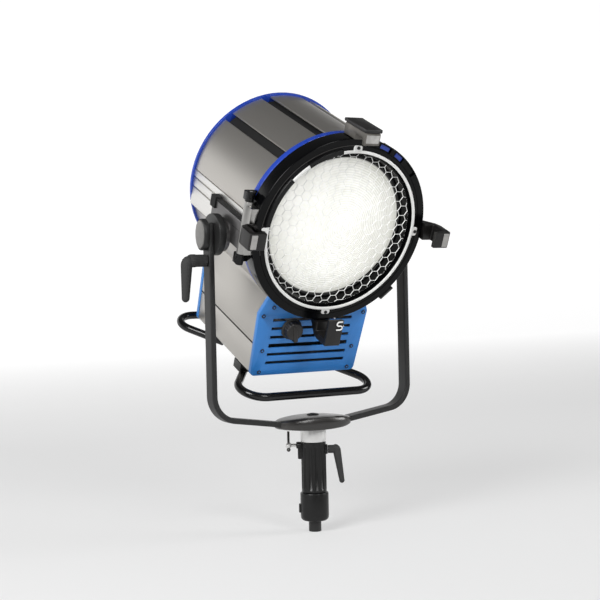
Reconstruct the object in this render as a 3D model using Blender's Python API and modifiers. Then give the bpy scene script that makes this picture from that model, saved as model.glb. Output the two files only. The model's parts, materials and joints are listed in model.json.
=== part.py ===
"""Fresnel spotlight head in its yoke, held by a stand head. Metres, +Z up, beam towards -Y.

The origin is the middle of the flat lower end of the stand post. Pieces of the lamp head are
modelled in the head's own axes (x along the tilt axis, -y along the beam) under an empty on
the tilt axis, which carries the resting tilt. Every moving assembly has its own empty on its
joint's axis.
"""
import math

import bmesh
import bpy
from mathutils import Matrix, Vector

# ---------------------------------------------------------------- fits
GAP = 0.0003            # between pieces that touch
RUN = 0.00005           # radial play of a shaft in its hole

# ---------------------------------------------------------------- stand head
TILT_HEIGHT = 0.538     # tilt axis above the lower end of the post
POST_RADIUS = 0.0113
POST_STUB = 0.0195      # bare length of post below the sleeve
POST_LENGTH = 0.060
SLEEVE_RADIUS = 0.0256
SLEEVE_TOP = 0.071
RECEIVER_RADIUS = 0.0225
RECEIVER_TOP = 0.1625
FLUTES = 12
FLUTE_DEPTH = 0.0016
SIDE_TURN = math.radians(-29.3)     # lever side of the stand head, about Z from +X
CLAMP_HEIGHT = 0.148
CLAMP_OUT = 0.038       # from the post's axis to the middle of the lever's elbow
CLAMP_DROP = 0.062
CLAMP_FLARE = 0.013
SCREW_HEIGHT = 0.156
SCREW_OUT = 0.0450      # from the post's axis to the sliding bar
BAR_RADIUS = 0.00225
BAR_UP = 0.0255
BAR_DOWN = 0.0060

# ---------------------------------------------------------------- yoke
SPIGOT_RADIUS = 0.0140
SPIGOT_BOTTOM = 0.0905
COLLAR_RADIUS = 0.0230
SADDLE_BOTTOM = 0.186
SADDLE_TOP = 0.211
SADDLE_LENGTH = 0.153
SADDLE_WIDTH = 0.075
YOKE_HALF = 0.1998      # arm centre from the middle
YOKE_THICK = 0.010
YOKE_WIDTH = 0.026
YOKE_BEND = 0.045
YOKE_SLOPE = 0.150      # rise per length of the lower bars
YOKE_FLAT = 0.052       # half length of the level part inside the saddle
YOKE_TOP = 0.020        # arm end above the tilt axis
SHAFT_RADIUS = 0.0080
BRAKE_RADIUS = 0.0365
CAP_HALF_WIDTH = 0.0190
CAP_HALF_HEIGHT = 0.0275
LOCK_DROP = 0.045       # tilt lock below the tilt axis
LOCK_REACH = 0.036
LOCK_LENGTH = 0.066

# ---------------------------------------------------------------- lamp head
REST_TILT = math.radians(23.7)
AXIS_RISE = 0.045       # barrel axis above the tilt axis
BODY_RADIUS = 0.162
SKIN = 0.003
FLANGE_RADIUS = 0.166
FLANGE_THICK = 0.006
HEAD_FRONT = -0.067
HEAD_REAR = 0.173
LINER_RADIUS = 0.1520
LINER_WALL = 0.002
TOP_PANEL_HALF = 12.0   # half angle of the top panel, degrees
GROOVE = 6.2            # open angle between two panels
UPPER_PANEL = 22.0
RAIL_TOP = 0.061
RAIL_BOTTOM = -0.004
RAIL_INNER = 0.1537
RAIL_SLOTS = (0.0475, 0.0300)
RAIL_SLOT_WIDTH = 0.003
RAIL_SLOT_DEPTH = 0.004
LOWER_TOP = -0.013      # where the lower side skins begin
NECK = (0.098, -0.094)
SHOULDER = (0.111, -0.124)
BASE_HALF = 0.107
BASE_BOTTOM = -0.245
BASE_CORNER = 0.008
SEAM = -0.184
SEAM_GAP = 0.003
PANEL_FRONT = -0.070
PANEL_OVERHANG = 0.003  # rear panel behind the rear flange
PANEL_REAR = HEAD_REAR + PANEL_OVERHANG
PANEL_SHEET = 0.0025
LOUVRES = (-0.1365, -0.1533, -0.1703, -0.1870, -0.2045, -0.2210)
LOUVRE_HEIGHTS = (0.006, 0.006, 0.006, 0.008, 0.006, 0.006)
LOUVRE_HALF = 0.0815
PANEL_SCREWS = ((0.103, -0.127), (0.085, -0.111), (0.093, -0.1955), (0.092, -0.238))
CARRIAGE_FRONT = -0.060
CARRIAGE_REAR = 0.058
CARRIAGE_TOP = 0.047
CARRIAGE_BOTTOM = -0.003
CARRIAGE_THICK = 0.010

# ---------------------------------------------------------------- skids
SKID_RADIUS = 0.0075
SKID_PLANE = -0.262
SKID_HALF = 0.1305
SKID_BEND = 0.038
SKID_FRONT = -0.121
SKID_REAR = 0.222
SKID_LEG_X = 0.080
SKID_FRONT_LEG = 0.000
SKID_REAR_LEG = 0.101

# ---------------------------------------------------------------- lens door
PIN_X = -0.172
PIN_Y = -0.075
PIN_RADIUS = 0.003
KNUCKLE_RADIUS = 0.008
KNUCKLES = ((0.0900, 0.1070), (-0.0240, -0.0040))
RING_RADIUS = 0.1683
RING_BACK = -0.0705
RING_FRONT = -0.1025
RING_MOUTH = 0.1435
MESH_SEAT = -0.0962
MESH_RIM = 0.1385
RETAINER_SEAT = -0.0800
LENS_RADIUS = 0.1270
LENS_OPEN = 0.1215      # opening of the lip behind the lens
LIP = 0.0023
RIDGES = 5
RIDGE_HEIGHT = 0.0018
LENS_THICK = 0.0060
RIM_WINDOWS = ((40.0, 50.5), (53.5, 62.0), (65.0, 79.0))
MESH_CELL = 0.0340
MESH_WIRE = 0.0026
GUARD_INNER = 0.1425
GUARD_OUTER = 0.1477
GUARD_TAB = 0.1560
BRACKET_OUT = 0.1990
TOP_BRACKET_OUT = 0.1890            # the top bracket is lower and shorter
TOP_BRACKET_TIP = -0.1420
TOP_SLOT_FLOOR = 0.1790
BOTTOM_LIP = 0.1500     # inner end of the bottom bracket's tall lip
BRACKET_WIDTH = 0.030
BRACKET_BACK = -0.080
BRACKET_TIP = -0.148
SLOT_BACK = -0.110
SLOT_FLOOR = 0.186
LATCH_ANGLE = -44.5
LATCH_WIDTH = 0.034

# ---------------------------------------------------------------- inside
KNOB_X = -0.042
KNOB_Z = -0.154
KNOB_RADIUS = 0.0200
KNOB_DEPTH = 0.017
LEAD_RADIUS = 0.0040
LEAD_END = 0.130
ROD_X = 0.045
ROD_Z = -0.084
ROD_RADIUS = 0.004
ROD_BRACKETS = (-0.049, 0.138)      # where the two rod brackets begin along the barrel
ROD_BRACKET_HALF = 0.060
LAMP_Y = 0.030          # lamp axis at rest
LAMP_TRAVEL = 0.030     # each way
REFLECTOR_RADIUS = 0.060
ARM_Y = 0.0420          # front face of the reflector arm behind the lamp axis
ARM_THICK = 0.0045

STEPS = 72              # round a large ring


# ---------------------------------------------------------------- scene set-up
def clear_scene():
    for obj in list(bpy.data.objects):
        bpy.data.objects.remove(obj, do_unlink=True)


def new_collection(name):
    collection = bpy.data.collections.new(name)
    bpy.context.scene.collection.children.link(collection)
    return collection


def material(name, colour, metallic, roughness, alpha=1.0):
    mat = bpy.data.materials.new(name)
    mat.use_nodes = True
    mat.diffuse_color = (*colour, alpha)
    shader = mat.node_tree.nodes["Principled BSDF"]
    shader.inputs["Base Color"].default_value = (*colour, 1.0)
    shader.inputs["Metallic"].default_value = metallic
    shader.inputs["Roughness"].default_value = roughness
    shader.inputs["Alpha"].default_value = alpha
    return mat


clear_scene()
PARTS = new_collection("fresnel_spotlight")
CUTTERS = new_collection("cutters")

BLACK = material("black_enamel", (0.018, 0.018, 0.019), 0.2, 0.38)
CAST = material("black_casting", (0.030, 0.030, 0.032), 0.3, 0.50)
BLUE = material("deep_blue_enamel", (0.018, 0.045, 0.300), 0.1, 0.35)
AZURE = material("azure_enamel", (0.050, 0.220, 0.640), 0.1, 0.38)
SATIN = material("satin_aluminium", (0.520, 0.500, 0.470), 0.85, 0.38)
GREY = material("grey_anodised", (0.160, 0.158, 0.155), 0.6, 0.45)
SILVER = material("bright_steel", (0.780, 0.775, 0.765), 0.95, 0.22)
PLASTIC = material("black_plastic", (0.022, 0.022, 0.023), 0.0, 0.45)
GLASS = material("lens_glass", (0.930, 0.935, 0.920), 0.0, 0.12, 0.35)
CERAMIC = material("white_ceramic", (0.780, 0.770, 0.740), 0.0, 0.50)
MIRROR = material("mirror_aluminium", (0.880, 0.880, 0.890), 1.0, 0.06)


# ---------------------------------------------------------------- modelling helpers
def finish(obj, name, mat, parent=None, smooth=35.0):
    """Name a finished object, give it its material and its joint's empty."""
    obj.name = name
    obj.data.name = name
    obj.data.materials.clear()
    obj.data.materials.append(mat)
    if parent is not None:
        obj.parent = parent
    if obj.type == "MESH" and smooth:
        obj.data.shade_smooth()
        obj.data.set_sharp_from_angle(angle=math.radians(smooth))
    return obj


def empty(name, matrix, parent=None):
    obj = bpy.data.objects.new(name, None)
    obj.empty_display_size = 0.03
    PARTS.objects.link(obj)
    obj.parent = parent
    obj.matrix_local = matrix
    return obj


def mesh_object(bm, collection=None):
    mesh = bpy.data.meshes.new("piece")
    bm.to_mesh(mesh)
    bm.free()
    obj = bpy.data.objects.new("piece", mesh)
    (collection or PARTS).objects.link(obj)
    return obj


def box(x0, x1, y0, y1, z0, z1):
    bm = bmesh.new()
    bmesh.ops.create_cube(bm, size=1.0)
    bmesh.ops.scale(bm, vec=(x1 - x0, y1 - y0, z1 - z0), verts=bm.verts)
    bmesh.ops.translate(bm, vec=((x0 + x1) / 2, (y0 + y1) / 2, (z0 + z1) / 2), verts=bm.verts)
    return mesh_object(bm)


def rod(start, end, radius, segments=32, end_radius=None):
    """A solid cylinder or cone from start to end."""
    start, end = Vector(start), Vector(end)
    along = end - start
    bm = bmesh.new()
    bmesh.ops.create_cone(bm, cap_ends=True, segments=segments, radius1=radius,
                          radius2=radius if end_radius is None else end_radius,
                          depth=along.length)
    turn = along.to_track_quat("Z", "Y").to_matrix().to_4x4()
    bmesh.ops.transform(bm, matrix=Matrix.Translation((start + end) / 2) @ turn, verts=bm.verts)
    return mesh_object(bm)


def ball(centre, radii, segments=24):
    bm = bmesh.new()
    bmesh.ops.create_uvsphere(bm, u_segments=segments, v_segments=segments // 2, radius=1.0)
    bmesh.ops.scale(bm, vec=radii, verts=bm.verts)
    bmesh.ops.translate(bm, vec=centre, verts=bm.verts)
    return mesh_object(bm)


def place(obj, matrix):
    """Move a piece's mesh within its own axes."""
    obj.data.transform(matrix)
    return obj


def about_x(angle):
    return Matrix.Rotation(angle, 4, "X")


def about_y(angle):
    return Matrix.Rotation(angle, 4, "Y")


def about_z(angle):
    return Matrix.Rotation(angle, 4, "Z")


def shift(x=0.0, y=0.0, z=0.0):
    return Matrix.Translation((x, y, z))


TO_BEAM = shift(z=AXIS_RISE) @ about_x(math.radians(90))      # +Z of a turned piece to -y


def turned(profile, steps=STEPS):
    """A profile of (radius, height) points turned about Z. It runs down its outer side."""
    bm = bmesh.new()
    verts = [bm.verts.new((r, 0.0, h)) for r, h in profile]
    for a, b in zip(verts, verts[1:]):
        bm.edges.new((a, b))
    if profile[0][0] > 0.0 or profile[-1][0] > 0.0:
        bm.edges.new((verts[-1], verts[0]))
    obj = mesh_object(bm)
    screw = obj.modifiers.new("turn", "SCREW")
    screw.axis = "Z"
    screw.steps = screw.render_steps = steps
    screw.use_merge_vertices = True
    screw.merge_threshold = 0.00001
    return bake(obj)


def bake(obj):
    """Replace an object by the mesh that its modifiers or its curve make, caps welded."""
    bpy.context.view_layer.update()
    graph = bpy.context.evaluated_depsgraph_get()
    mesh = bpy.data.meshes.new_from_object(obj.evaluated_get(graph))
    bm = bmesh.new()
    bm.from_mesh(mesh)
    bmesh.ops.remove_doubles(bm, verts=bm.verts, dist=0.000002)
    bmesh.ops.recalc_face_normals(bm, faces=bm.faces)
    bm.to_mesh(mesh)
    bm.free()
    new = bpy.data.objects.new("piece", mesh)
    new.matrix_world = obj.matrix_world.copy()
    PARTS.objects.link(new)
    bpy.data.objects.remove(obj, do_unlink=True)
    return new


def extruded(outline, depth, holes=()):
    """A flat outline (with holes) in XY, extruded by depth upwards from z = 0."""
    curve = bpy.data.curves.new("outline", "CURVE")
    curve.dimensions = "2D"
    curve.fill_mode = "BOTH"
    curve.extrude = depth / 2
    for loop in (outline, *holes):
        spline = curve.splines.new("POLY")
        spline.points.add(len(loop) - 1)
        for point, (x, y) in zip(spline.points, loop):
            point.co = (x, y, 0.0, 1.0)
        spline.use_cyclic_u = True
    obj = bpy.data.objects.new("piece", curve)
    PARTS.objects.link(obj)
    return place(bake(obj), shift(z=depth / 2))


def tube(points, radius, resolution=3):
    """A round bar along points, with closed ends."""
    curve = bpy.data.curves.new("bar", "CURVE")
    curve.dimensions = "3D"
    curve.bevel_depth = radius
    curve.bevel_resolution = resolution
    curve.use_fill_caps = True
    spline = curve.splines.new("POLY")
    spline.points.add(len(points) - 1)
    for point, co in zip(spline.points, points):
        point.co = (*co, 1.0)
    obj = bpy.data.objects.new("piece", curve)
    PARTS.objects.link(obj)
    return bake(obj)


def combine(obj, tool, operation):
    """Cut, join or trim obj with tool, which goes to the cutters."""
    for collection in list(tool.users_collection):
        collection.objects.unlink(tool)
    CUTTERS.objects.link(tool)
    tool.name = "cutter"
    tool.hide_render = True
    tool.display_type = "WIRE"
    modifier = obj.modifiers.new(operation.lower(), "BOOLEAN")
    modifier.operation = operation
    modifier.solver = "EXACT"
    modifier.object = tool
    result = bake(obj)
    tool.hide_set(True)
    return result


def cut(obj, *tools):
    for tool in tools:
        obj = combine(obj, tool, "DIFFERENCE")
    return obj


def join(obj, *tools):
    for tool in tools:
        obj = combine(obj, tool, "UNION")
    return obj


def cluster(*objs):
    """Separate cutters as one object."""
    bm = bmesh.new()
    for obj in objs:
        bm.from_mesh(obj.data)
        bpy.data.objects.remove(obj, do_unlink=True)
    return mesh_object(bm)


def rounded(obj, width, segments=2, angle=40.0):
    """Round the edges that are sharper than angle."""
    bevel = obj.modifiers.new("bevel", "BEVEL")
    bevel.width = width
    bevel.segments = segments
    bevel.limit_method = "ANGLE"
    bevel.angle_limit = math.radians(angle)
    return bake(obj)


# ---------------------------------------------------------------- outlines
def arc(radius, start, end, steps, centre=(0.0, 0.0)):
    """Points on a circle between two angles in degrees."""
    angles = [math.radians(start + (end - start) * i / steps) for i in range(steps + 1)]
    return [(centre[0] + radius * math.cos(a), centre[1] + radius * math.sin(a))
            for a in angles]


def filleted(corners, radii, steps=8, closed=False):
    """A path through corners with each corner rounded by its radius."""
    points = []
    count = len(corners)
    for i, (corner, radius) in enumerate(zip(corners, radii)):
        here = Vector(corner)
        if radius <= 0.0 or (not closed and i in (0, count - 1)):
            points.append(tuple(here))
            continue
        to_last = (Vector(corners[i - 1]) - here).normalized()
        to_next = (Vector(corners[(i + 1) % count]) - here).normalized()
        half = math.acos(max(-1.0, min(1.0, to_last.dot(to_next)))) / 2
        reach = radius / math.tan(half)
        centre = here + (to_last + to_next).normalized() * (radius / math.sin(half))
        first = here + to_last * reach - centre
        last = here + to_next * reach - centre
        sweep = math.pi - 2 * half
        for j in range(steps + 1):
            t = j / steps
            a = math.sin((1 - t) * sweep) / math.sin(sweep)
            b = math.sin(t * sweep) / math.sin(sweep)
            points.append(tuple(centre + first * a + last * b))
    return points


def band(path, thickness):
    """The outline of a strip of given thickness on the left of an open path."""
    offset = []
    for i, point in enumerate(path):
        here = Vector(point)
        before = (here - Vector(path[i - 1])).normalized() if i else None
        after = (Vector(path[i + 1]) - here).normalized() if i < len(path) - 1 else None
        before, after = before or after, after or before
        mitre = Vector((-before.y - after.y, before.x + after.x)).normalized()
        scale = thickness / max(0.3, mitre.dot(Vector((-before.y, before.x))))
        offset.append(tuple(here + mitre * scale))
    return list(path) + offset[::-1]


def mirrored(path):
    return [(-x, z) for x, z in reversed(path)]


def along_y(outline, y0, y1, holes=()):
    """An outline in the x-z plane, extruded from y0 to y1."""
    flip = [[(x, -z) for x, z in loop] for loop in (outline, *holes)]
    piece = extruded(flip[0], y1 - y0, flip[1:])
    return place(piece, shift(y=y0) @ about_x(math.radians(-90)))


def ring_band(inner, outer, start, end, y0, y1, steps):
    """Part of a ring about the barrel axis."""
    outline = arc(outer, start, end, steps) + arc(inner, end, start, steps)
    return along_y([(x, z + AXIS_RISE) for x, z in outline], y0, y1)


def both_sides(piece):
    """A piece's mirror image across the middle plane."""
    twin = piece.copy()
    twin.data = piece.data.copy()
    PARTS.objects.link(twin)
    twin.data.transform(Matrix.Scale(-1, 4, (1, 0, 0)))
    twin.data.flip_normals()
    return twin


# ---------------------------------------------------------------- empties on the joint axes
YOKE = empty("yoke_axis", shift(z=RECEIVER_TOP))
HEAD = empty("head_axis", shift(z=TILT_HEIGHT - RECEIVER_TOP) @ about_x(REST_TILT), YOKE)
SIDE = empty("stand_side", about_z(SIDE_TURN))
CLAMP = empty("clamp_axis", shift(CLAMP_OUT, 0.0, CLAMP_HEIGHT), SIDE)
T_AXIS = empty("t_screw_axis", shift(-SCREW_OUT, 0.0, SCREW_HEIGHT), SIDE)
LOCK = empty("lock_axis", shift(-YOKE_HALF - YOKE_THICK / 2, 0.0,
                                TILT_HEIGHT - RECEIVER_TOP - LOCK_DROP), YOKE)
DOOR = empty("door_axis", shift(PIN_X, PIN_Y, AXIS_RISE), HEAD)
LATCH_HINGE_Y = -0.0640
LATCH_HINGE_R = 0.1723
LATCH = empty("latch_axis", shift(y=LATCH_HINGE_Y, z=AXIS_RISE)
              @ about_y(-math.radians(LATCH_ANGLE)) @ shift(x=LATCH_HINGE_R), HEAD)
CLIP_HINGE_Y = -0.0740
CLIP_HINGE_Z = TOP_BRACKET_OUT + 0.0045
CLIP = empty("clip_axis", shift(-PIN_X, CLIP_HINGE_Y - PIN_Y, CLIP_HINGE_Z), DOOR)
KNOB = empty("focus_axis", shift(KNOB_X, PANEL_FRONT, KNOB_Z), HEAD)
LAMP = empty("lamp_axis", shift(0.0, LAMP_Y, ROD_Z), HEAD)


# ---------------------------------------------------------------- stand head
def build_stand_head():
    post = rod((0, 0, 0), (0, 0, POST_LENGTH), POST_RADIUS)
    finish(post, "post", BLACK)

    sleeve = turned([(POST_RADIUS + GAP, SLEEVE_TOP), (SLEEVE_RADIUS, SLEEVE_TOP),
                     (SLEEVE_RADIUS, POST_STUB + 0.009), (SLEEVE_RADIUS - 0.003, POST_STUB + 0.002),
                     (SLEEVE_RADIUS - 0.008, POST_STUB), (POST_RADIUS + GAP, POST_STUB)], 40)
    lug = place(box(-0.029, -0.020, -0.006, 0.006, 0.034, 0.050), about_z(SIDE_TURN))
    finish(join(sleeve, lug), "lower_sleeve", CAST)

    flutes = []
    for i in range(FLUTES):
        middle = 360.0 * i / FLUTES
        flutes += arc(RECEIVER_RADIUS, middle - 9.0, middle + 9.0, 3)
        flutes += arc(RECEIVER_RADIUS - FLUTE_DEPTH, middle + 11.0, middle + 19.0, 2)
    receiver = place(extruded(flutes, RECEIVER_TOP - SLEEVE_TOP - GAP), shift(z=SLEEVE_TOP + GAP))
    boss = rod((-0.018, 0, SCREW_HEIGHT), (-0.031, 0, SCREW_HEIGHT), 0.0062, 20)
    rib = box(-0.0285, -0.018, -0.007, 0.007, SLEEVE_TOP + 0.0605, SCREW_HEIGHT)
    seat = rod((0.018, 0, CLAMP_HEIGHT), (0.0255, 0, CLAMP_HEIGHT), 0.0082, 20)
    for piece in (boss, rib, seat):
        place(piece, about_z(SIDE_TURN))
    receiver = join(receiver, boss, rib, seat)
    bore = rod((0, 0, SPIGOT_BOTTOM - 0.004), (0, 0, 0.20), SPIGOT_RADIUS + RUN, 48)
    hole = place(rod((-0.035, 0, SCREW_HEIGHT), (-0.016, 0, SCREW_HEIGHT), 0.003 + RUN, 20),
                 about_z(SIDE_TURN))
    socket = place(rod((0.019, 0, CLAMP_HEIGHT), (0.030, 0, CLAMP_HEIGHT), 0.0035 + RUN, 20),
                   about_z(SIDE_TURN))
    finish(cut(receiver, bore, hole, socket), "receiver", CAST)

    hub = rod((-CLAMP_OUT + 0.0255 + GAP, 0, 0), (0.005, 0, 0), 0.0072, 24)
    stem = rod((-CLAMP_OUT + 0.0195, 0, 0), (-CLAMP_OUT + 0.030, 0, 0), 0.0035, 20)
    arm = rod((0.0, 0, 0.0), (CLAMP_FLARE, 0, -CLAMP_DROP), 0.0062, 20, 0.0042)
    tip = ball((CLAMP_FLARE, 0, -CLAMP_DROP), (0.0044, 0.0044, 0.0044), 16)
    elbow = ball((0.001, 0, 0), (0.0080, 0.0080, 0.0080), 18)
    lever = join(hub, stem, elbow, arm, tip)
    finish(lever, "clamp_lever", PLASTIC, CLAMP)

    shank = rod((0.0, 0, 0), (SCREW_OUT - 0.0170, 0, 0), 0.003, 20)
    head = ball((0, 0, 0), (0.0056, 0.0056, 0.0056), 20)
    eye = rod((0, 0, -0.01), (0, 0, 0.01), BAR_RADIUS + RUN, 20)
    finish(cut(join(shank, head), eye), "t_screw", SILVER, T_AXIS)
    bar = rod((0, 0, -BAR_DOWN), (0, 0, BAR_UP), BAR_RADIUS, 20)
    knob = ball((0, 0, -BAR_DOWN - 0.002), (0.0036, 0.0036, 0.0036), 16)
    finish(join(bar, knob), "t_bar", BLACK, T_AXIS)


# ---------------------------------------------------------------- yoke
def yoke_path():
    """Centre line of the strip in the x-z plane, about the tilt axis."""
    drop = SADDLE_BOTTOM + 0.0100 - TILT_HEIGHT
    corner = drop + (YOKE_HALF - YOKE_FLAT) * YOKE_SLOPE
    left = [(-YOKE_HALF, YOKE_TOP), (-YOKE_HALF, corner), (-YOKE_FLAT, drop)]
    corners = left + mirrored(left)
    return filleted(corners, (0, YOKE_BEND, 0.02, 0.02, YOKE_BEND, 0), 8)


def strip(path, thickness, width, rise):
    """A flat bar of given thickness bent along path, width across y."""
    half = thickness / 2
    outer = band(path, half)[len(path):]
    inner = band(path, -half)[len(path):]
    bar = along_y(list(outer[::-1]) + list(inner), -width / 2, width / 2)
    return place(bar, shift(z=rise))


def build_yoke():
    rise = TILT_HEIGHT - RECEIVER_TOP
    bar = strip(yoke_path(), YOKE_THICK, YOKE_WIDTH, rise)
    for side in (-1, 1):
        x = side * YOKE_HALF
        bar = cut(bar, rod((x - 0.02, 0, rise), (x + 0.02, 0, rise), SHAFT_RADIUS + RUN))
    x = -YOKE_HALF
    bar = cut(bar, rod((x - 0.02, 0, rise - LOCK_DROP), (x + 0.02, 0, rise - LOCK_DROP),
                       0.004 + RUN, 20))
    finish(bar, "yoke_strip", BLACK, YOKE)

    half_l, half_w = SADDLE_LENGTH / 2, SADDLE_WIDTH / 2
    oval = [(half_l * math.cos(a), half_w * math.sin(a))
            for a in (2 * math.pi * i / 36 for i in range(36))]
    base = SADDLE_BOTTOM - RECEIVER_TOP
    saddle = place(extruded(oval, SADDLE_TOP - SADDLE_BOTTOM), shift(z=base))
    saddle = rounded(saddle, 0.004, 2)
    channel = strip(yoke_path(), YOKE_THICK + 2 * GAP, YOKE_WIDTH + 2 * GAP, rise)
    finish(cut(saddle, channel), "saddle_plate", CAST, YOKE)

    top = SADDLE_TOP - RECEIVER_TOP
    finish(rod((0, 0, top + GAP), (0, 0, top + GAP + 0.006), 0.0110, 6), "spigot_bolt",
           SILVER, YOKE, smooth=0)

    spigot = turned([(0, base - GAP), (COLLAR_RADIUS, base - GAP), (COLLAR_RADIUS, GAP),
                     (SPIGOT_RADIUS, GAP), (SPIGOT_RADIUS, SPIGOT_BOTTOM - RECEIVER_TOP),
                     (0, SPIGOT_BOTTOM - RECEIVER_TOP)], 48)
    finish(spigot, "spigot", SILVER, YOKE)

    inner = YOKE_HALF - YOKE_THICK / 2 - GAP
    outer = YOKE_HALF + YOKE_THICK / 2 + GAP
    carriage = BODY_RADIUS + GAP + CARRIAGE_THICK
    drum = rod((carriage + 0.0095, 0, rise), (inner, 0, rise), BRAKE_RADIUS, 36)
    drum = cut(drum, rod((0.1, 0, rise), (0.3, 0, rise), SHAFT_RADIUS + RUN),
               rod((0.1, 0, rise), (carriage + 0.0115, 0, rise), BRAKE_RADIUS - 0.006, 36))
    twin = both_sides(drum)
    finish(drum, "brake_drum_right", BLACK, YOKE)
    finish(twin, "brake_drum_left", BLACK, YOKE)

    oval = [(CAP_HALF_WIDTH * math.cos(a), CAP_HALF_HEIGHT * math.sin(a))
            for a in (2 * math.pi * i / 28 for i in range(28))]
    cap = place(extruded(oval, 0.0125), shift(outer, 0, rise) @ about_y(math.radians(90))
                @ about_z(math.radians(90)))
    cap = rounded(cap, 0.003, 2)
    cap = cut(cap, rod((0.19, 0, rise), (outer + 0.004, 0, rise), SHAFT_RADIUS + 0.002, 24))
    twin = both_sides(cap)
    finish(cap, "hub_cap_right", GREY, YOKE)
    finish(twin, "hub_cap_left", GREY, YOKE)

    stud = rod((YOKE_THICK + 0.0005, 0, 0), (-LOCK_REACH, 0, 0), 0.004, 20)
    hub = rod((-GAP, 0, 0), (-LOCK_REACH, 0, 0), 0.0105, 24)
    elbow = ball((-LOCK_REACH, 0, 0), (0.0115, 0.0115, 0.0115), 18)
    arm = rod((-LOCK_REACH, 0, 0), (-LOCK_REACH - 0.005, 0, -LOCK_LENGTH), 0.0090, 20, 0.0060)
    tip = ball((-LOCK_REACH - 0.005, 0, -LOCK_LENGTH), (0.0062, 0.0062, 0.0062), 16)
    finish(join(hub, stud, elbow, arm, tip), "tilt_lock_lever", PLASTIC, LOCK)


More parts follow.
